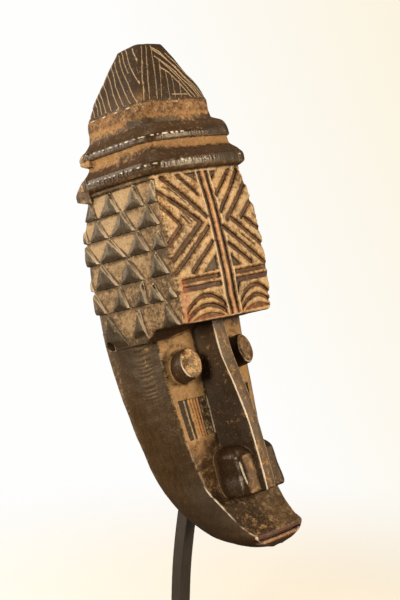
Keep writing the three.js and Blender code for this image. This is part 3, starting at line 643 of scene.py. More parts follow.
# keep the carved front, sides and cap dense, and thin the plain back, hollow and chin
me = build_mesh("mask_raw", v, tri)
ob = bpy.data.objects.new("mask_raw", me)
bpy.context.scene.collection.objects.link(ob)
TARGET = 196000
KEEP = 0.004
if len(tri) > TARGET:
    xf, yf, xr = read(HOLLOW, v[:, 2].astype(np.float32))
    t = np.clip((v[:, 1] - yf - 4.5) / (95.5 - yf), 0, 1.1)
    inner = (np.abs(v[:, 0]) < xf + (xr - xf) * (1.3 * t - 0.3 * t * t) + 1.5) & (v[:, 1] > yf - 1.5) & (v[:, 2] < 159) & (v[:, 2] > -190)
    plain = inner | (v[:, 1] > 97) | ((v[:, 2] > 150) & (v[:, 1] > 80))
    carved = ~plain & (v[:, 2] > 2) & (v[:, 2] < 141)
    w = np.where(plain, 1.0, np.where(carved, 0.5, 0.62))
    vg = ob.vertex_groups.new(name="keep")
    for k in (1.0, 0.62, 0.5):
        vg.add(np.where(np.abs(w - k) < 1e-6)[0].tolist(), k, "REPLACE")
    mod = ob.modifiers.new("thin", "DECIMATE")
    mod.ratio = TARGET / len(tri)
    mod.vertex_group = "keep"
    mod.vertex_group_factor = KEEP
    dg = bpy.context.evaluated_depsgraph_get()
    done = bpy.data.meshes.new_from_object(ob.evaluated_get(dg))
    v, tri = mesh_arrays(done)
    v = settle(v, 1, 0.15)
bpy.data.objects.remove(ob)
print("thinned", len(v), len(tri))

# ------------------------------------------------------------------ colour and wear, with painted shade and painted highlights, worked out point by point
def lin(r, g, b):
    c = np.array([r, g, b]) / 255.0
    return np.where(c <= 0.04045, c / 12.92, ((c + 0.055) / 1.055) ** 2.4).astype(np.float32)


RING_TAN = np.array([(134, .3), (141, .3), (143, .06), (154, .05), (157, .22), (161, .45), (164, .85), (166, 1), (171.2, 1), (172.6, .4), (173.8, .05), (180, .05),
                     (183, .16), (187, .3), (191, .48), (195, .72), (198, 1), (208.6, 1), (209.8, .55), (210.6, .04), (280, .04)])


def paint(p, n, conv, cav):
    """lo colour, hi colour, share of hi, how ragged its edge is, wear with painted edge highlight, polish, red pigment,
    dirt with painted corner shade, pale flecks, pits, bright lines of pale polish and painted highlight
    """
    x, y, z = (p[:, i].astype(np.float32) for i in range(3))
    ax = np.abs(x)
    N = len(x)
    lo = np.tile(lin(66, 48, 30), (N, 1))
    hi = np.tile(lin(124, 94, 60), (N, 1))
    t = np.full(N, 0.2, np.float32)
    rag = np.full(N, 0.5, np.float32)
    wear_and_edge_highlight = np.zeros(N, np.float32)
    shine = np.full(N, 0.55, np.float32)
    red = np.zeros(N, np.float32)
    fleck = np.full(N, 0.12, np.float32)
    polish_and_painted_highlight = np.zeros(N, np.float32)

    def lay(w, a=None, b=None, share=None, ragged=None, gloss=None, pale=None):
        nonlocal lo, hi, t, rag, shine, fleck
        w = np.asarray(w, np.float32)
        if a is not None:
            lo += (lin(*a) - lo) * w[:, None]
        if b is not None:
            hi += (lin(*b) - hi) * w[:, None]
        if share is not None:
            t += (share - t) * w
        if ragged is not None:
            rag += (ragged - rag) * w
        if gloss is not None:
            shine += (gloss - shine) * w
        if pale is not None:
            fleck += (pale - fleck) * w

    # --- the lower hull, darker and smoother towards the chin
    low = 1 - ease(-2, 4, z)
    lay(low, (68, 48, 26), (118, 86, 48), 0.14, 0.45, 0.7, 0.0)
    lay(low * ease(-80, -20, z), (60, 42, 24), (118, 87, 52), 0.2, 0.62, 0.52)
    lay(low * bell(y - 64, 8) * ease(-70, -50, z) * (0.6 + 0.4 * np.sin(1.5 * z + 1.1 * np.sin(0.3 * y) + 1.6 * np.sin(0.23 * z))), (84, 60, 34), (150, 114, 70), 0.45, 0.7, 0.45)
    lay(low * (1 - ease(-165, -125, z)), (58, 39, 20), (102, 72, 40), 0.12, 0.5, 0.3)
    lay(low * bell(z + 158, 20) * (1 - ease(46, 70, y)), (52, 35, 18), None, None, None, 0.0)
    lay(low * ease(86, 94, y), (84, 64, 42), (134, 106, 74), 0.4, 0.5, 0.45)

    # --- the face
    xe, ye, xm, xr, yr, yn = read(HULL, np.minimum(z, 14))
    x0 = np.minimum(15.0, xe * 0.45)
    yf = yn + (ye - yn) * np.clip((ax - x0) / (xe - x0), 0, 1.25)
    plate = (1 - ease(1.6, 3.4, np.abs(y - yf))) * low * ease(0.25, 0.5, -n[:, 1]) * (1 - ease(-2.6, -0.6, ax - xe))
    lay(plate, (90, 63, 38), (157, 119, 74), 0.74, 0.5, 0.27, 0.1)
    lay(plate * ease(-14, -2, z) * ease(34, 42, ax), (82, 56, 40), (142, 104, 66), 0.42, 0.5, 0.3)
    lay(plate * ease(-118, -108, z) * (1 - ease(-108, -101, z)), (76, 50, 32), (138, 98, 58), 0.5, 0.5, 0.3)
    lay(plate * (1 - ease(-122, -108, z)), (82, 55, 33), (134, 98, 59), 0.5, 0.7, 0.3)
    lay(plate * (1 - ease(15.5, 19, ax)) * ease(-150, -140, z), (46, 31, 18), (100, 70, 40), 0.2, 0.5, 0.35)
    plat = (1 - ease(1.6, 3.4, np.abs(y - yf))) * (1 - ease(-158, -150, z)) * ease(0.1, 0.35, -n[:, 1] + 0.35 * n[:, 2])
    plat = plat * (1 - ease(-1.0, 0.6, ax - xe))
    lay(plat, (50, 33, 18), (108, 78, 44), 0.32, 0.8, 0.4)
    # painted sheen: the right half of the chin platform is lighter
    lay(plat * ease(-8, 8, x), (76, 56, 35), (110, 85, 55), 0.44, 0.5, 0.5)
    # striped panel on each cheek
    inside, q, lift = cheek_panel(x, z)
    ins = inside * plate
    lay(ins, (50, 35, 21), (108, 77, 48), 0.28, 0.8, 0.2, 0.0)
    lay(ins * bell(q - 6.3, 0.85), (148, 116, 78), (188, 156, 112), 0.7, 0.4, 0.6)
    lay(ins * ease(9.6, 10.4, q) * (1 - ease(21.4, 22.2, q)), (138, 90, 48), (188, 136, 82), 0.74, 0.5, 0.3)
    lay(ins * (bell(q - 15.8, 0.6) + bell(q - 18.8, 0.5) + bell(q - 12.6, 0.4)).clip(0, 1), (84, 50, 26), (130, 84, 46), 0.3, 0.4, 0.4)
    lay(ins * ease(22.4, 23.4, q), (72, 54, 36), (136, 110, 78), 0.44, 1.0, 0.4, 0.7)

    # --- nose
    yr, h, ft = read(NOSE, np.clip(z, -162, 9))
    w = h + 2.2 * np.clip((y - yr - 1.2) / 10.8, 0, 1) + (ft - h - 2.2) * np.clip((y - yr - 12) / np.maximum(34 - yr, 2), 0, 1.1) ** 1.2
    nose = (1 - ease(0.8, 2.2, np.abs(ax - w))) * (y < 50) * (y > yr - 2) * ease(-164, -160, z) * low * (1 - ease(0, 1.5, z - 4))
    top = (1 - ease(1.0, 2.4, np.abs(y - yr))) * (1 - ease(0.2, 1.4, ax - h)) * ease(-165, -162, z) * low
    lay(nose * (1 - top), (36, 22, 10), (86, 56, 30), 0.18, 0.9, 0.24, 0.0)
    lay(nose * (1 - top) * ease(-70, -20, z), (66, 44, 25), (114, 81, 48), 0.3, 0.9, 0.24)
    lay(top, (74, 50, 25), (128, 94, 54), 0.38, 0.8, 0.46, 0.15)
    # --- eye pegs
    pegs_face = np.zeros(N, np.float32)
    for s, (px, py, pz, rx, rz) in PEGS.items():
        dx, dz = x - s * px, z - pz
        rr = np.sqrt((dx / rx) ** 2 + (dz / rz) ** 2)
        peg = (x * s > 0) * (1 - ease(1.14, 1.3, rr)) * (y < 46) * low
        face = peg * ease(0.45, 0.8, -n[:, 1]) * (1 - ease(0.96, 1.04, rr))
        lay(peg, (58, 39, 22), (116, 84, 50), 0.22, 0.8, 0.5, 0.0)
        lay(face, (80, 54, 29), (170, 131, 82), 0.48, 0.7, 0.6, 0.7)
        lay(face * (x > 0), (74, 48, 23), (144, 104, 58), 0.4, 0.62, 0.5, 0.2)
        # painted highlight: a bright crescent along the rim of each peg's face
        polish_and_painted_highlight += peg * bell(rr - 0.93, 0.07) * ease(0.3, 0.6, -n[:, 1]) * ((x > 0) * 0.85 + (x < 0) * 1.1 * ease(0.1, 0.7, -dx / rx))
        lay(face * ease(-0.2, 0.9, (dx * s * 0.7 + dz * 0.5) / 12), (88, 58, 30), (160, 118, 70), 0.4)
        pegs_face = pegs_face + face
        # painted shade: a darker ring round the foot of each peg
        ring = (x * s > 0) * bell(rr - 1.27, 0.13) * plate
        lay(ring * 0.5, (70, 48, 30), (118, 84, 50), 0.3, 0.4)
    # --- nostril wings
    ww = np.where(x < 0, WINGS[-1], WINGS[1]) + 2.0 * ease(-140, -157, z)
    wing = (ax < ww + 1.6) * (z < -113) * (z > -163) * (1 - np.clip(top, 0, 1)) * (ax > 7.4) * (1 - plate) * (y < 40)
    lay(wing, (44, 28, 14), (104, 72, 40), 0.05, 0.4, 0.9, 0.0)
    front = wing * ease(0.84, 0.97, -n[:, 1])
    lay(front, (70, 48, 27), (120, 88, 53), 0.42, 0.9, 0.42)
    # painted highlight: an upright bright streak on the front corner of the left wing
    polish_and_painted_highlight += wing * (x < 0) * bell(ax - 22.4 - 0.03 * (z + 140), 1.2) * ease(-156, -148, z) * (1 - ease(-132, -124, z)) * ease(0.2, 0.5, -n[:, 1]) * 0.86
    arch = plate * (z < -108) * ease(-166, -161, z) * (1 - ease(2.0, 5.0, np.maximum(ax - ww, z + 114)))
    lay(arch, (84, 58, 35), (136, 102, 64), 0.45, 0.6)
    # --- lip
    tip = (1 - ease(-199.0, -197.0, z)) * (1 - ease(9, 14, y))
    lay(tip, (58, 34, 19), (98, 62, 36), 0.2, 0.4, 0.6, 0.0)
    lay(tip * ease(-203.2, -201.2, z), (84, 36, 20), (124, 64, 38), 0.2, 0.4, 0.4)
    # pale worn lower lip with a painted highlight: a lighter glossy band under the slit
    lay(tip * bell(z + 205.0, 1.5), (134, 92, 60), (176, 132, 94), 0.6, 0.3, 0.9)
    slit = bell(z + 201.8, 1.3) * (y > 0.8) * tip
    lay(slit, (48, 16, 9), (84, 30, 16), 0.1, 0.2, 0.4)

    # --- forehead block, sides
    b = ease(-3, 3, z) * (1 - ease(140.5, 142.5, z))
    by, dy, xc, bm, bx, bry = read(BLOCK, np.clip(z, 3, 142))
    frontness = (1 - ease(1.5, 4.5, y - (by + dy * np.clip(ax / xc, 0, 1.15) ** 1.4))) * (ax < xc + 3)
    side = b * (1 - frontness) * (y > by + 3) * ease(0.2, 0.5, np.abs(n[:, 0]))
    side *= (ax > 50)
    hh, u, worn_and_highlit_edge, flank = np.zeros(N, np.float32), np.full(N, 9, np.float32), np.zeros(N, np.float32), np.zeros(N, np.float32)
    k = np.where(side > 0)[0]
    if len(k):
        one, two = side_pattern(y[k], z[k], -1), side_pattern(y[k], z[k], 1)
        hh[k], u[k], worn_and_highlit_edge[k], flank[k] = (np.where(x[k] < 0, a, c) for a, c in zip(one, two))
    i = np.clip(np.searchsorted(ROWS, z) - 1, 0, 5)
    frac = np.clip((z - ROWS[i]) / (ROWS[i + 1] - ROWS[i]), 0, 1)
    ground = ease(0.5, 1.6, u)
    lay(side, (72, 58, 39), (126, 104, 73), 0.26, 0.62, 0.74, 0.0)
    lay(side * ground, (112, 86, 56), (170, 141, 103), 0.76, 0.45, 0.3, 0.05)
    lay(side * ground * np.clip(0.9 * (1 - ease(14, 44, y)) + 0.9 * (1 - ease(24, 110, z)), 0, 1), (80, 60, 37), (134, 106, 72), 0.5, 0.7)
    # painted shade: the carved ground darkens just under the base of the row above
    lay(side * ground * ease(0.72, 1.0, frac), (82, 60, 37), (128, 98, 63), 0.4)
    lay(side * ground * (1 - ease(1.0, 3.2, u)) * 0.8, (80, 58, 36), (136, 106, 70), 0.42, 0.6)
    lay(side * (1 - ground) * ease(-3.2, -0.4, u), (92, 76, 56), (146, 122, 90), 0.4, 0.6, 0.7)
    lay(side * (1 - ground) * (1 - ease(0.02, 0.3, frac)), (62, 49, 33), (104, 82, 54), 0.12, 0.5, 0.66)
    lay(side * flank, (72, 47, 25), (122, 86, 50), 0.26, 0.5, 0.3)
    lay(side * (1 - ground) * (1 - ease(30, 110, z)) * 0.7, (54, 42, 28), (108, 85, 57))
    # paler worn right-hand edges of the raised triangles, which also serve as a painted highlight line
    wear_and_edge_highlight += side * worn_and_highlit_edge * ease(-1.6, 0.3, u) * (1.15 + 0.35 * np.sin(0.11 * y - 0.19 * z))
    polish_and_painted_highlight += side * worn_and_highlit_edge * ease(-1.0, 0.3, u) * (0.6 + 0.4 * np.sin(0.13 * y - 0.23 * z + 1.0))
    # strip at the front corner, and the part under the last row
    corner = side * (1 - ease(4.5, 9.5, y - by))
    lay(corner, (66, 44, 24), (140, 100, 58), 0.36, 0.9, 0.45, 0.9)
    lay(side * (1 - ease(2, 9, z)) * (1 - ease(36, 48, y)), (92, 66, 40), (142, 106, 68), 0.5, 0.5, 0.35)
    lay(side * (1 - ease(-1, 7, z)) * ease(40, 50, y), (62, 46, 29), (116, 88, 58), 0.25, 0.5, 0.5)
    lay(b * ease(93, 98, y), (84, 68, 48), (136, 112, 80), 0.4, 0.6, 0.5)

    # --- forehead block, front
    f = b * frontness * (ax < xc + 2.5) * ease(0.15, 0.45, -n[:, 1] + 0.5 * conv) * (y < 14)
    g, mid = front_pattern(x, z)
    lay(f, (108, 69, 31), (166, 118, 62), 0.64, 0.66, 0.42, 0.35)
    outer = ease(-24, -34, x - 0.25 * np.abs(z - 92)) + ease(22, 32, x)
    lay(f * np.clip(outer, 0, 1) * ease(50, 56, z), (104, 70, 33), (176, 134, 76), 0.6, 0.8, 0.5, 1.0)
    lay(f * ease(30, 36, x) * ease(93, 98, z) * (1 - ease(116, 124, z)), (104, 86, 56), (148, 126, 86), 0.6, 0.8, 0.6, 0.4)
    lay(f * (1 - ease(28, 34, z)), (124, 83, 42), (194, 147, 86), 0.72, 0.7, 0.45, 0.6)
    lay(f * bell(z - 28.5, 5.0) * 0.7, (108, 88, 58), (168, 138, 92), 0.6, 0.8, 0.55, 0.8)
    gg = ease(0.34, 0.7, g)
    shoulder = ease(0.03, 0.27, g)
    lay(f * (1 - shoulder), None, (176, 134, 78), None, None, 0.5)
    lay(f * shoulder * 0.8, (98, 62, 31), (150, 106, 60), 0.46, 0.9, 0.35)
    fleck *= 1 - 0.7 * f * shoulder
    lay(f * gg, (76, 42, 18), (126, 80, 42), 0.28, 0.8, 0.22, 0.1)
    lay(f * gg * ease(28, 32, z) * (1 - ease(36, 39, z)), (72, 38, 22), (112, 62, 36), 0.3, 0.4, 0.4)
    for tri_pts in DARK_TRI:
        k = np.where(f > 0)[0]
        m = np.zeros(N, np.float32)
        m[k] = 1 - ease(-1.0, 0.2, poly(x[k], z[k], tri_pts))
        lay(f * m, (60, 43, 27), (100, 76, 48), 0.25, 0.5, 0.4)
    lay(f * mid * ease(3, 8, z), (146, 88, 48), (192, 132, 82), 0.7, 0.35, 0.55, 0.3)
    wear_and_edge_highlight += f * (1 - gg) * bell(np.abs(x - 2.6 * (1 - ease(4, 27, z))) - 8.3, 0.9) * ease(6, 12, z) * 0.7
    red += f * (1.5 * bell(x + 54, 5) * (1 - ease(34, 52, z)) + 0.8 * bell(z - 5.5, 4.0) * (1 - 0.3 * ease(10, 30, ax))
                + 0.5 * mid * (bell(z - 80, 24) + bell(z - 26, 12)) + 0.7 * bell(x + 51, 4) * bell(z - 89, 10) + 0.6 * bell(x - 51, 4) * bell(z - 95, 7))
    wear_and_edge_highlight += f * (1 - shoulder) * 0.42
    under = b * ease(0.5, 0.8, -n[:, 2]) * (z < 8) * (y < 60)
    lay(under, (66, 46, 28), (110, 80, 50), 0.3, 0.4, 0.3)

    # --- rings
    zz = z - 3.2 * ease(20, 50, x) * bell(z - 189, 6.0)
    r = ease(140.5, 143, z) * (1 - ease(210, 210.8, zz))
    share = np.interp(zz, RING_TAN[:, 0], RING_TAN[:, 1]).astype(np.float32)
    lay(r, (64, 42, 22), (154, 112, 66), 0.0, 0.45, 0.6, 0.15)
    t += ((0.1 + share * 0.72) - t) * r
    rag += (0.5 - rag) * r
    shine += ((0.72 - 0.5 * share) - shine) * r
    lay(r * ease(-24, 6, x) * (1 - share), (70, 44, 22), (130, 88, 48), 0.3, 0.8, 0.5)
    rims = r * (bell(z - 150.2, 2.6) + bell(z - 177.4, 1.5))
    lay(r * ease(2, 26, x) * (1 - share), (48, 31, 16), (100, 67, 36), 0.14, 0.8, 0.3)
    lay(rims * (1 - ease(6, 30, x)), (50, 33, 19), None, 0.0, 0.2, 1.0)
    # painted highlights: bright streaks along the crests of the two rims, and dashes on the ledge under the cap
    streak = 0.55 + 0.45 * np.sin(0.9 * np.where(ax > xc - 2, y, x) + 1.4 * np.sin(0.33 * (x + y)))
    polish_and_painted_highlight += r * streak * (0.95 * bell(z - 177.6, 0.9) * (1 - ease(-22, -6, x)) + 1.25 * bell(z - 178.0, 1.0) * bell(x + 24, 16) * (y < 30)
                           + 1.1 * bell(z - 151.2, 1.2) * (bell(x + 22, 13) + 0.8 * bell(x - 8, 10) + 0.8 * bell(x - 50, 9)) * (y < 30) + 0.95 * bell(z - 150.6, 1.1) * (x < -50))
    polish_and_painted_highlight += r * (1.1 * bell(zz - 208.7, 0.7) * (bell(x + 4, 7) * (y < 30) + (x < -40) * ease(0.2, 0.7, np.sin(0.42 * y + 1.0))) + 0.7 * bell(zz - 203, 0.7) * bell(x - 11, 6) * (y < 30)
                  + 0.5 * bell(zz - 204.4, 0.7) * (x < -40) * bell(y - 55, 9))
    lay(r * bell(zz - 190, 6) * bell(x + 40, 24) * (y < 34), (52, 36, 21), (96, 66, 40), 0.14)
    lay(r * bell(z - 159, 4) * bell(x + 42, 20) * (y < 34), (50, 34, 19), (92, 62, 38), 0.1)
    lay(r * bell(z - 164, 5) * bell(x + 48, 20) * (y < 44) * 0.85, (54, 37, 21), (116, 82, 50), 0.34, 1.0)
    lay(r * bell(z - 159, 5), (66, 46, 29), (132, 96, 60), None, 0.62)
    lay(r * bell(zz - 186, 4), (70, 50, 31), (138, 100, 64), None, 0.62)
    lay(r * bell(z - 159, 4) * bell(np.where(ax > xc - 2, ax, x) + 0.0, 30) * (x < 25), None, None, 0.18)
    lay(r * ease(197, 199, zz), (78, 51, 27), (130, 92, 55), 0.6, 0.75, 0.2, 0.3)
    lay(r * ease(84.5, 86.5, y), (104, 80, 52), (160, 128, 88), 0.6, 0.6, 0.4)
    lay(r * ease(142.5, 144, z) * (1 - ease(145, 146.5, z)), (92, 68, 42), (140, 106, 68), 0.4)

    # --- cap
    c = ease(209.8, 210.6, zz)
    hy, hdy, hc, hb, hyb, hr = read(HEAD, zz)
    k = np.where(c > 0)[0]
    line = np.zeros(N, np.float32)
    if len(k):
        on_side = np.abs(n[k, 0]) > 0.62 * np.abs(n[k, 1]) + 0.2 * (y[k] < hy[k] + hdy[k] + 2)
        uu = np.where(on_side, -(y[k] - (hy[k] + hdy[k] * 0.9 + 1)), x[k] + hc[k])
        uu = np.where(on_side & (x[k] > 0), uu + 0.9, uu)
        line[k] = 1 - ease(0.35, 0.85, cap_lines(uu, z[k]))
        line[k] *= (n[k, 1] < 0.6)
    lay(c, (46, 28, 13), (96, 64, 34), 0.16, 0.6, 0.16, 0.1)
    lay(c * bell(np.hypot(x + hc - 4, z - 216), 6) * (n[:, 1] < 0), (96, 68, 40), (140, 106, 68), 0.4, 0.6, 0.3)
    # pale wear with painted edge light: a lighter strip along the back edge of the cap
    lay(c * bell(y - hyb - 0.6, 2.4), (104, 84, 58), (152, 130, 96), 0.6, 0.5, 0.3)
    lay(c * line, (140, 114, 82), (176, 150, 116), 0.8, 0.2, 0.3, 0.1)
    lay(c * ease(0.5, 0.8, n[:, 2]) * (1 - line), (78, 58, 36), (126, 98, 66), 0.35)
    lay(c * (1 - ease(211.2, 213, zz)), (70, 48, 28), (150, 120, 86), 0.3, 0.7, 0.5, 0.8)

    # --- the hollow and the back
    xf, hf, hx = read(HOLLOW, z)
    tt = np.clip((y - hf - 4.5) / (95.5 - hf), 0, 1.1)
    inn = (1 - ease(1.0, 3.0, ax - (xf + (hx - xf) * (1.3 * tt - 0.3 * tt * tt)))) * (y > hf - 1.5) * (z < 158) * (z > -190)
    lay(inn, (80, 57, 36), (130, 98, 62), 0.4, 0.5, 0.18)
    back = ease(0.5, 0.8, n[:, 1]) * (y > 60) * (1 - inn)
    lay(back, (80, 61, 40), (130, 102, 70), 0.4, 0.55, 0.4)

    # --- general wear on edges, partly a painted edge highlight; painted highlight lines; dirt in the corners, with painted shade there
    wear_and_edge_highlight += ease(0.16, 0.5, conv) * (0.5 - 0.35 * gg * f) * (1 - 0.7 * c) * (1 - 0.6 * inn)
    edge = bell(ax - xe + 1.0, 0.9) * low * plate_edge(y, yf)
    wear_and_edge_highlight += edge * (0.25 + 0.3 * (1 - ease(-105, -90, z)) * ease(-150, -140, z) + 0.3 * bell(z + 18, 9))
    # painted highlights, partly pale worn edges: thin bright lines along the chin's left edge and the nose ridge, and a
    # bright dot at the lip's corner
    polish_and_painted_highlight += bell(np.hypot(ax - xe, y - ye) - 0.4, 0.62) * low * (x < 0) * (1 - ease(-146, -132, z)) * (0.58 + 0.46 * bell(z + 160, 13) + 0.14 * np.sin(0.7 * z + 1.7 * np.sin(0.23 * z)))
    polish_and_painted_highlight += bell(np.hypot(x + 30.5, z + 198.5), 1.5) * (y < 12) * 1.1
    rim_line = (np.abs(y - yr) < 3.2) * low * ease(-163, -160, z)
    polish_and_painted_highlight += bell(np.hypot(ax - h, y - yr) - 0.3, 0.85) * rim_line * (x < 0) * (1.15 + 0.15 * np.sin(0.21 * z)) * (z < 2)
    polish_and_painted_highlight += bell(np.hypot(ax - h + 2.0, y - yr) - 0.3, 0.8) * rim_line * (x > 0) * 0.7
    wear_and_edge_highlight *= 1 - 0.9 * tip
    # painted shade: the cord holes are painted near-black inside and round their mouths
    painted_hole_shade = bell(np.hypot(y - 92 - (ax - 76) * 0.24, z + 1), 4.4) * (y > 80) * (ax > 52)
    lay(painted_hole_shade, (20, 13, 8), (40, 28, 18), 0.1, 0.3, 0.1)
    # painted shade mixed with dirt: darker in hollows and corners, from the cavity measure
    dirt_and_painted_shade = ease(0.14, 0.55, cav) * (1 - 0.35 * side)
    pitted = 0.12 + 0.88 * r * ease(195, 199, zz) + 0.25 * r + 0.5 * np.clip(pegs_face, 0, 1) + 0.2 * f
    t *= 1 - 0.35 * dirt_and_painted_shade * (1 - c)
    return (lo, hi, np.clip(t, 0, 1), rag, np.clip(wear_and_edge_highlight, 0, 1.6), np.clip(shine, 0, 1), np.clip(red, 0, 1), dirt_and_painted_shade, np.clip(fleck, 0, 1), np.clip(pitted, 0, 1).astype(np.float32), np.clip(polish_and_painted_highlight, 0, 1).astype(np.float32))


def plate_edge(y, yf):
    return 1 - ease(1.5, 3.5, np.abs(y - yf))


faces = tri
P = v[faces]                                   # face, corner, xyz
mid = P.mean(1, keepdims=True)
d = mid - P
ln = np.linalg.norm(d, axis=2, keepdims=True)
at_corner = (P + d * np.minimum(0.5, 0.8 / np.maximum(ln, 1e-6))).reshape(-1, 3)


def in_chunks(fn, *arrays, size=300000):
    out = [fn(*[a[i:i + size] for a in arrays]) for i in range(0, len(arrays[0]), size)]
    if isinstance(out[0], tuple):
        return tuple(np.concatenate(c) for c in zip(*out))
    return np.concatenate(out)


def look(p):
    f0 = field(p)
    g = gradient(p, 0.2, f0)
    gl = np.maximum(np.linalg.norm(g, axis=1), 0.2)
    n = g / gl[:, None]
    conv = np.clip(1 + (field(p - n * 1.3) - f0) / (1.3 * gl), 0, 1)
    cav = np.clip(1 - (field(p + n * 2.2) - f0) / (2.2 * gl), 0, 1)
    return n, conv, cav


normal, conv, cav = in_chunks(look, at_corner)
painted = in_chunks(paint, at_corner, normal, conv, cav)
lo, hi, share, rag, wear_and_edge_highlight, shine, red, dirt_and_painted_shade, fleck, pitted, polish_and_painted_highlight = painted

inside_box = np.clip(to_row(v), np.array(CAD_BOX[0]) + 2e-5, np.array(CAD_BOX[1]) - 2e-5)
mask = build_mesh("mask_carved", inside_box, faces)
n_loops = len(mask.loops)
assert n_loops == len(at_corner), "a face was dropped"


def corner_colour(name, rgb, a):
    at = mask.attributes.new(name, "FLOAT_COLOR", "CORNER")
    at.data.foreach_set("color", np.ascontiguousarray(np.column_stack([rgb, a]), np.float32).ravel())


corner_colour("wood_low", lo, share)
corner_colour("wood_high", hi, rag)
corner_colour("wood_use", np.stack([wear_and_edge_highlight, shine, red], 1), dirt_and_painted_shade)
corner_colour("wood_more", np.stack([fleck, pitted, polish_and_painted_highlight], 1), np.ones(n_loops, np.float32))
mask.polygons.foreach_set("use_smooth", np.ones(len(mask.polygons), bool))
mask.normals_split_custom_set(turn_to_row(normal))
carved = bpy.data.objects.new("mask_carved", mask)
bpy.context.scene.collection.objects.link(carved)
print("painted", n_loops)


# ------------------------------------------------------------------ materials
class Nodes:
    """a small helper that writes a node tree from short lines"""

    def __init__(self, name):
        self.mat = bpy.data.materials.new(name)
        self.mat.use_nodes = True
        self.t = self.mat.node_tree
        self.t.nodes.clear()

    def add(self, kind, **props):
        n = self.t.nodes.new("ShaderNode" + kind)
        for k, val in props.items():
            setattr(n, k, val)
        return n

    def put(self, socket, value):
        if hasattr(value, "is_output") and value.is_output:
            self.t.links.new(value, socket)
        else:
            socket.default_value = value

    def math(self, op, a, b=None, c=None, clamp=False):
        n = self.add("Math", operation=op, use_clamp=clamp)
        for i, s in enumerate((a, b, c)):
            if s is not None:
                self.put(n.inputs[i], s)
        return n.outputs[0]

    def mix(self, fac, a, b, mode="MIX"):
        n = self.add("Mix", data_type="RGBA", blend_type=mode)
        self.put(n.inputs[0], fac)
        self.put(n.inputs[6], a)
        self.put(n.inputs[7], b)
        return n.outputs[2]

    def step(self, v, a, b, lo=0.0, hi=1.0, kind="SMOOTHSTEP"):
        n = self.add("MapRange", interpolation_type=kind)
        self.put(n.inputs[0], v)
        for i, s in enumerate((a, b, lo, hi)):
            self.put(n.inputs[i + 1], s)
        return n.outputs[0]

    def noise(self, vec, scale, detail=3.0, rough=0.55, distort=0.0):
        n = self.add("TexNoise")
        self.put(n.inputs["Vector"], vec)
        n.inputs["Scale"].default_value = scale
        n.inputs["Detail"].default_value = detail
        n.inputs["Roughness"].default_value = rough
        n.inputs["Distortion"].default_value = distort
        return n.outputs[0]

    def cells(self, vec, scale, feature="F1", rand=1.0):
        n = self.add("TexVoronoi", feature=feature)
        self.put(n.inputs["Vector"], vec)
        n.inputs["Scale"].default_value = scale
        n.inputs["Randomness"].default_value = rand
        return n

    def mapped(self, vec, rot=(0, 0, 0), scale=(1, 1, 1), loc=(0, 0, 0)):
        n = self.add("Mapping")
        self.put(n.inputs["Vector"], vec)
        n.inputs["Rotation"].default_value = rot
        n.inputs["Scale"].default_value = scale
        n.inputs["Location"].default_value = loc
        return n.outputs[0]


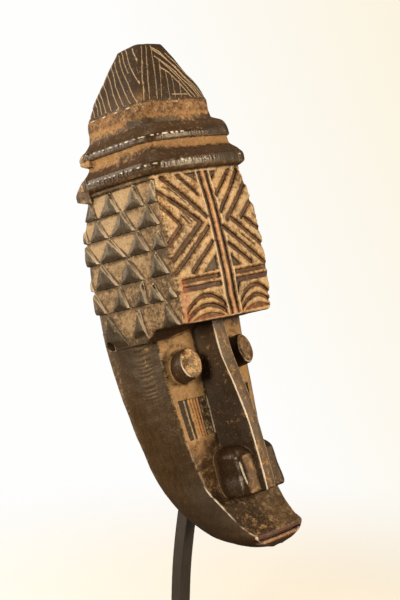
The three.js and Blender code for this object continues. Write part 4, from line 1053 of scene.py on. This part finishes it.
def wood_material():
    k = Nodes("carved_wood")
    co = k.add("TexCoord").outputs["Object"]
    along = k.mapped(co, rot=(LEAN, 0, 0))                  # back in the mask's own frame, in metres
    grain = k.mapped(along, scale=(1.0, 1.0, 0.16))
    low, high, use, more = (k.add("Attribute", attribute_name=a) for a in ("wood_low", "wood_high", "wood_use", "wood_more"))
    sep = k.add("SeparateColor")
    k.put(sep.inputs[0], use.outputs["Color"])
    wear_and_edge_highlight, shine, red = sep.outputs[0], sep.outputs[1], sep.outputs[2]
    share, rag, dirt_and_painted_shade = low.outputs["Alpha"], high.outputs["Alpha"], use.outputs["Alpha"]
    sep2 = k.add("SeparateColor")
    k.put(sep2.inputs[0], more.outputs["Color"])
    pale, pitted, polish_and_painted_highlight = sep2.outputs[0], sep2.outputs[1], sep2.outputs[2]

    n_big = k.noise(along, 38, 3, 0.5)
    n_mid = k.noise(along, 190, 5, 0.62, 0.4)
    n_fine = k.noise(along, 560, 4, 0.65)
    n_grain = k.noise(grain, 460, 4, 0.6, 0.3)
    speck = k.cells(along, 420)
    pits = k.cells(k.mapped(along, loc=(0.3, 0.1, 0.7)), 230)

    # how far the crust covers the wood, with a ragged edge
    r1 = k.math("MULTIPLY", k.math("SUBTRACT", n_mid, 0.5), 1.7)
    r2 = k.math("MULTIPLY", k.math("SUBTRACT", n_fine, 0.5), 1.1)
    r3 = k.math("MULTIPLY", k.math("SUBTRACT", n_big, 0.5), 0.7)
    rr = k.math("MULTIPLY", k.math("ADD", k.math("ADD", r1, r2), r3), rag)
    cover = k.step(k.math("ADD", share, rr), 0.34, 0.66)

    lo_c = k.mix(k.step(n_grain, 0.33, 0.68), k.mix(0.55, low.outputs["Color"], (0.016, 0.009, 0.004, 1)), low.outputs["Color"])
    lo_c = k.mix(k.math("MULTIPLY", k.step(n_fine, 0.54, 0.72), 0.3), lo_c, (0.15, 0.092, 0.046, 1))
    hi_c = k.mix(k.step(n_fine, 0.3, 0.70), k.mix(0.5, high.outputs["Color"], (0.085, 0.043, 0.018, 1)), high.outputs["Color"])
    hi_c = k.mix(k.math("MULTIPLY", k.step(n_mid, 0.52, 0.66), 0.35), hi_c, k.mix(0.45, high.outputs["Color"], (0.50, 0.34, 0.19, 1)))
    pit = k.math("MULTIPLY", k.math("MULTIPLY", k.step(pits.outputs["Distance"], 0.36, 0.16), k.step(n_mid, 0.40, 0.54)), pitted)
    hi_c = k.mix(k.math("MULTIPLY", pit, 0.8), hi_c, (0.045, 0.022, 0.010, 1))
    colour = k.mix(cover, lo_c, hi_c)
    # red and orange pigment left in places
    redness = k.math("MULTIPLY", red, k.step(k.math("ADD", n_mid, k.math("MULTIPLY", red, 0.2)), 0.42, 0.64))
    colour = k.mix(k.math("MULTIPLY", redness, 0.7), colour, (0.36, 0.105, 0.035, 1))
    # dirt in the corners, which also paints shade into the corners and hollows
    colour = k.mix(k.math("MULTIPLY", dirt_and_painted_shade, 0.72), colour, k.mix(0.75, colour, (0.020, 0.011, 0.005, 1)))
    # worn edges show paler wood, partly as a painted edge highlight; flecks of pale crust; bright lines of pale polish
    # and painted highlight
    worn_and_highlit_edge = k.math("MULTIPLY", wear_and_edge_highlight, k.step(k.math("ADD", n_mid, k.math("MULTIPLY", wear_and_edge_highlight, 0.22)), 0.44, 0.66), clamp=True)
    colour = k.mix(k.math("MULTIPLY", worn_and_highlit_edge, 0.85), colour, (0.52, 0.385, 0.235, 1))
    chip = k.math("MULTIPLY", k.step(speck.outputs["Distance"], 0.42, 0.22), k.step(n_mid, 0.50, 0.60))
    chip = k.math("MULTIPLY", chip, pale)
    colour = k.mix(k.math("MULTIPLY", chip, 0.8), colour, (0.66, 0.52, 0.33, 1))
    line = k.math("MULTIPLY", k.step(polish_and_painted_highlight, 0.42, 0.95), k.step(k.math("ADD", n_mid, k.math("MULTIPLY", polish_and_painted_highlight, 0.25)), 0.46, 0.62))
    colour = k.mix(k.math("MULTIPLY", line, 0.85), colour, (0.66, 0.545, 0.40, 1))
    # slow change of tone over the whole mask
    tone = k.step(n_big, 0.3, 0.7, 0.84, 1.12, "LINEAR")
    shade = k.add("VectorMath", operation="SCALE")
    k.put(shade.inputs[0], colour)
    k.put(shade.inputs[3], tone)

    out = k.add("OutputMaterial")
    bs = k.add("BsdfPrincipled")
    k.put(bs.inputs["Base Color"], shade.outputs[0])
    ro = k.math("SUBTRACT", 0.72, k.math("MULTIPLY", shine, 0.54))
    ro = k.math("ADD", ro, k.math("MULTIPLY", cover, 0.14))
    ro = k.math("ADD", ro, k.math("MULTIPLY", k.math("SUBTRACT", n_fine, 0.5), 0.3))
    ro = k.math("SUBTRACT", ro, k.math("MULTIPLY", worn_and_highlit_edge, 0.22), clamp=True)
    k.put(bs.inputs["Roughness"], k.math("MAXIMUM", ro, 0.12))
    bs.inputs["IOR"].default_value = 1.5
    bs.inputs["Specular IOR Level"].default_value = 0.27
    bs.inputs["Specular Tint"].default_value = (1.0, 0.86, 0.66, 1)
    # relief: grain, crust, chips and pits
    hgt = k.math("MULTIPLY", n_fine, 0.6)
    hgt = k.math("ADD", hgt, k.math("MULTIPLY", n_grain, 0.5))
    hgt = k.math("ADD", hgt, k.math("MULTIPLY", n_mid, 0.7))
    hgt = k.math("SUBTRACT", hgt, k.math("MULTIPLY", pit, 0.8))
    hgt = k.math("ADD", hgt, k.math("MULTIPLY", cover, 0.3))
    hgt = k.math("ADD", hgt, k.math("MULTIPLY", chip, 0.5))
    bump = k.add("Bump")
    bump.inputs["Strength"].default_value = 0.6
    bump.inputs["Distance"].default_value = 0.0006
    k.put(bump.inputs["Height"], hgt)
    k.put(bs.inputs["Normal"], bump.outputs[0])
    k.put(out.inputs["Surface"], bs.outputs[0])
    return k.mat


def steel_material():
    k = Nodes("black_steel")
    co = k.add("TexCoord").outputs["Object"]
    big = k.noise(co, 14, 3, 0.5)
    fine = k.noise(co, 900, 3, 0.6)
    streak = k.noise(k.mapped(co, scale=(1, 1, 0.05)), 700, 3, 0.6)
    c = k.mix(k.step(big, 0.35, 0.7), (0.031, 0.021, 0.013, 1), (0.045, 0.031, 0.019, 1))
    c = k.mix(k.math("MULTIPLY", k.step(streak, 0.5, 0.72), 0.4), c, (0.062, 0.052, 0.043, 1))
    spots = k.cells(co, 260)
    dust = k.math("MULTIPLY", k.step(spots.outputs["Distance"], 0.14, 0.05), k.step(big, 0.5, 0.6))
    c = k.mix(k.math("MULTIPLY", dust, 0.5), c, (0.16, 0.14, 0.12, 1))
    out = k.add("OutputMaterial")
    bs = k.add("BsdfPrincipled")
    k.put(bs.inputs["Base Color"], c)
    k.put(bs.inputs["Roughness"], k.step(fine, 0.2, 0.8, 0.36, 0.56, "LINEAR"))
    bump = k.add("Bump")
    bump.inputs["Strength"].default_value = 0.25
    bump.inputs["Distance"].default_value = 0.0002
    k.put(bump.inputs["Height"], k.math("ADD", fine, k.math("MULTIPLY", streak, 0.5)))
    k.put(bs.inputs["Normal"], bump.outputs[0])
    k.put(out.inputs["Surface"], bs.outputs[0])
    return k.mat


def floor_material():
    k = Nodes("pale_floor")
    co = k.add("TexCoord").outputs["Object"]
    far = k.add("VectorMath", operation="LENGTH")
    k.put(far.inputs[0], co)
    out = k.add("OutputMaterial")
    bs = k.add("BsdfPrincipled")
    bs.inputs["Base Color"].default_value = (0.36, 0.33, 0.28, 1)
    bs.inputs["Roughness"].default_value = 0.9
    bs.inputs["Specular IOR Level"].default_value = 0.05
    across = k.add("VectorMath", operation="DOT_PRODUCT")
    k.put(across.inputs[0], co)
    across.inputs[1].default_value = (0.707, -0.707, 0)
    k.put(bs.inputs["Emission Color"], k.mix(k.step(across.outputs["Value"], -0.3, 0.3), (0.916, 0.93, 0.90, 1), (0.823, 0.714, 0.552, 1)))
    bs.inputs["Emission Strength"].default_value = 0.56
    clear = k.add("BsdfTransparent")
    both = k.add("MixShader")
    k.put(both.inputs[0], k.step(far.outputs["Value"], 0.2, 0.62, 0.0, 1.0))
    k.put(both.inputs[1], bs.outputs[0])
    k.put(both.inputs[2], clear.outputs[0])
    k.put(out.inputs["Surface"], both.outputs[0])
    return k.mat


wood = wood_material()
steel = steel_material()
mask.materials.append(wood)
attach(carved, "root")
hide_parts("mask")
for name in ("stand_rod", "stand_base"):
    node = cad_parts[name]
    for s in node.material_slots:
        s.link = "OBJECT"
        s.material = steel

# ------------------------------------------------------------------ floor, light and camera
ring = 96
fl = bpy.data.meshes.new("floor")
pts = [(0, 0, -0.0004)]
face_list = []
for rad_ in (0.4, 0.8, 1.2, 1.6):
    for i in range(ring):
        a = 2 * math.pi * i / ring
        pts.append((rad_ * math.cos(a), rad_ * math.sin(a), -0.0004))
for i in range(ring):
    face_list.append((0, 1 + i, 1 + (i + 1) % ring))
    for j in range(3):
        a, b = 1 + j * ring, 1 + (j + 1) * ring
        face_list.append((a + i, b + i, b + (i + 1) % ring, a + (i + 1) % ring))
fl.from_pydata(pts, [], face_list)
floor = bpy.data.objects.new("floor", fl)
fl.materials.append(floor_material())
bpy.context.scene.collection.objects.link(floor)
floor.visible_diffuse = floor.visible_glossy = False

AIM = Vector((0.0, -0.02, 0.36))


def lamp(name, where, size, power, colour=(1, 1, 1), size_y=None):
    data = bpy.data.lights.new(name, "AREA")
    data.shape = "RECTANGLE"
    data.size, data.size_y = size, size_y or size
    data.energy = power
    data.color = colour
    o = bpy.data.objects.new(name, data)
    o.location = where
    o.rotation_euler = (AIM - Vector(where)).to_track_quat("-Z", "Y").to_euler()
    bpy.context.scene.collection.objects.link(o)
    return o


lamp("key", (1.0, -1.55, 1.05), 0.6, 50, (1.0, 0.89, 0.73))
lamp("left", (-1.8, -0.35, 1.0), 0.7, 42, (1.0, 0.93, 0.82))
lamp("side", (-1.15, 1.3, 0.8), 0.7, 26, (1.0, 0.96, 0.9), 1.2)
lamp("top", (-0.2, 0.2, 2.1), 0.6, 10, (1.0, 0.92, 0.8))

# the world lights the object dimly, and the camera sees it as a bright plain backdrop
world = bpy.data.worlds.new("studio")
bpy.context.scene.world = world
world.use_nodes = True
wt = world.node_tree
wt.nodes.clear()
way = wt.nodes.new("ShaderNodeTexCoord")
side_of = wt.nodes.new("ShaderNodeVectorMath")
side_of.operation = "DOT_PRODUCT"
side_of.inputs[1].default_value = (0.72, -0.62, 0.35)
wt.links.new(way.outputs["Generated"], side_of.inputs[0])
span = wt.nodes.new("ShaderNodeMapRange")
span.inputs[1].default_value, span.inputs[2].default_value = 0.0, 0.24
wt.links.new(side_of.outputs["Value"], span.inputs[0])
tone = wt.nodes.new("ShaderNodeMix")
tone.data_type = "RGBA"
tone.inputs[6].default_value = (0.99, 0.99, 0.985, 1)
tone.inputs[7].default_value = (0.97, 0.894, 0.715, 1)
wt.links.new(span.outputs[0], tone.inputs[0])
bright = wt.nodes.new("ShaderNodeBackground")
wt.links.new(tone.outputs[2], bright.inputs["Color"])
dim = wt.nodes.new("ShaderNodeBackground")
dim.inputs["Color"].default_value = (1.0, 0.93, 0.82, 1)
dim.inputs["Strength"].default_value = 0.17
path = wt.nodes.new("ShaderNodeLightPath")
pick = wt.nodes.new("ShaderNodeMixShader")
wt.links.new(path.outputs["Is Camera Ray"], pick.inputs[0])
wt.links.new(dim.outputs[0], pick.inputs[1])
wt.links.new(bright.outputs[0], pick.inputs[2])
wo = wt.nodes.new("ShaderNodeOutputWorld")
wt.links.new(pick.outputs[0], wo.inputs["Surface"])

cam_data = bpy.data.cameras.new("camera")
cam_data.sensor_fit = "AUTO"
cam_data.sensor_width = 36.0
cam_data.lens = 76.8
cam_data.dof.use_dof = False
cam_data.clip_end = 200
cam = bpy.data.objects.new("camera", cam_data)
cam.location = (-0.83483, -0.84999, 0.64704)
cam.rotation_euler = (math.radians(90 - 12.2), 0, math.radians(-45))
bpy.context.scene.collection.objects.link(cam)
bpy.context.scene.camera = cam
bpy.context.scene.view_settings.view_transform = "Standard"
bpy.context.scene.view_settings.look = "None"
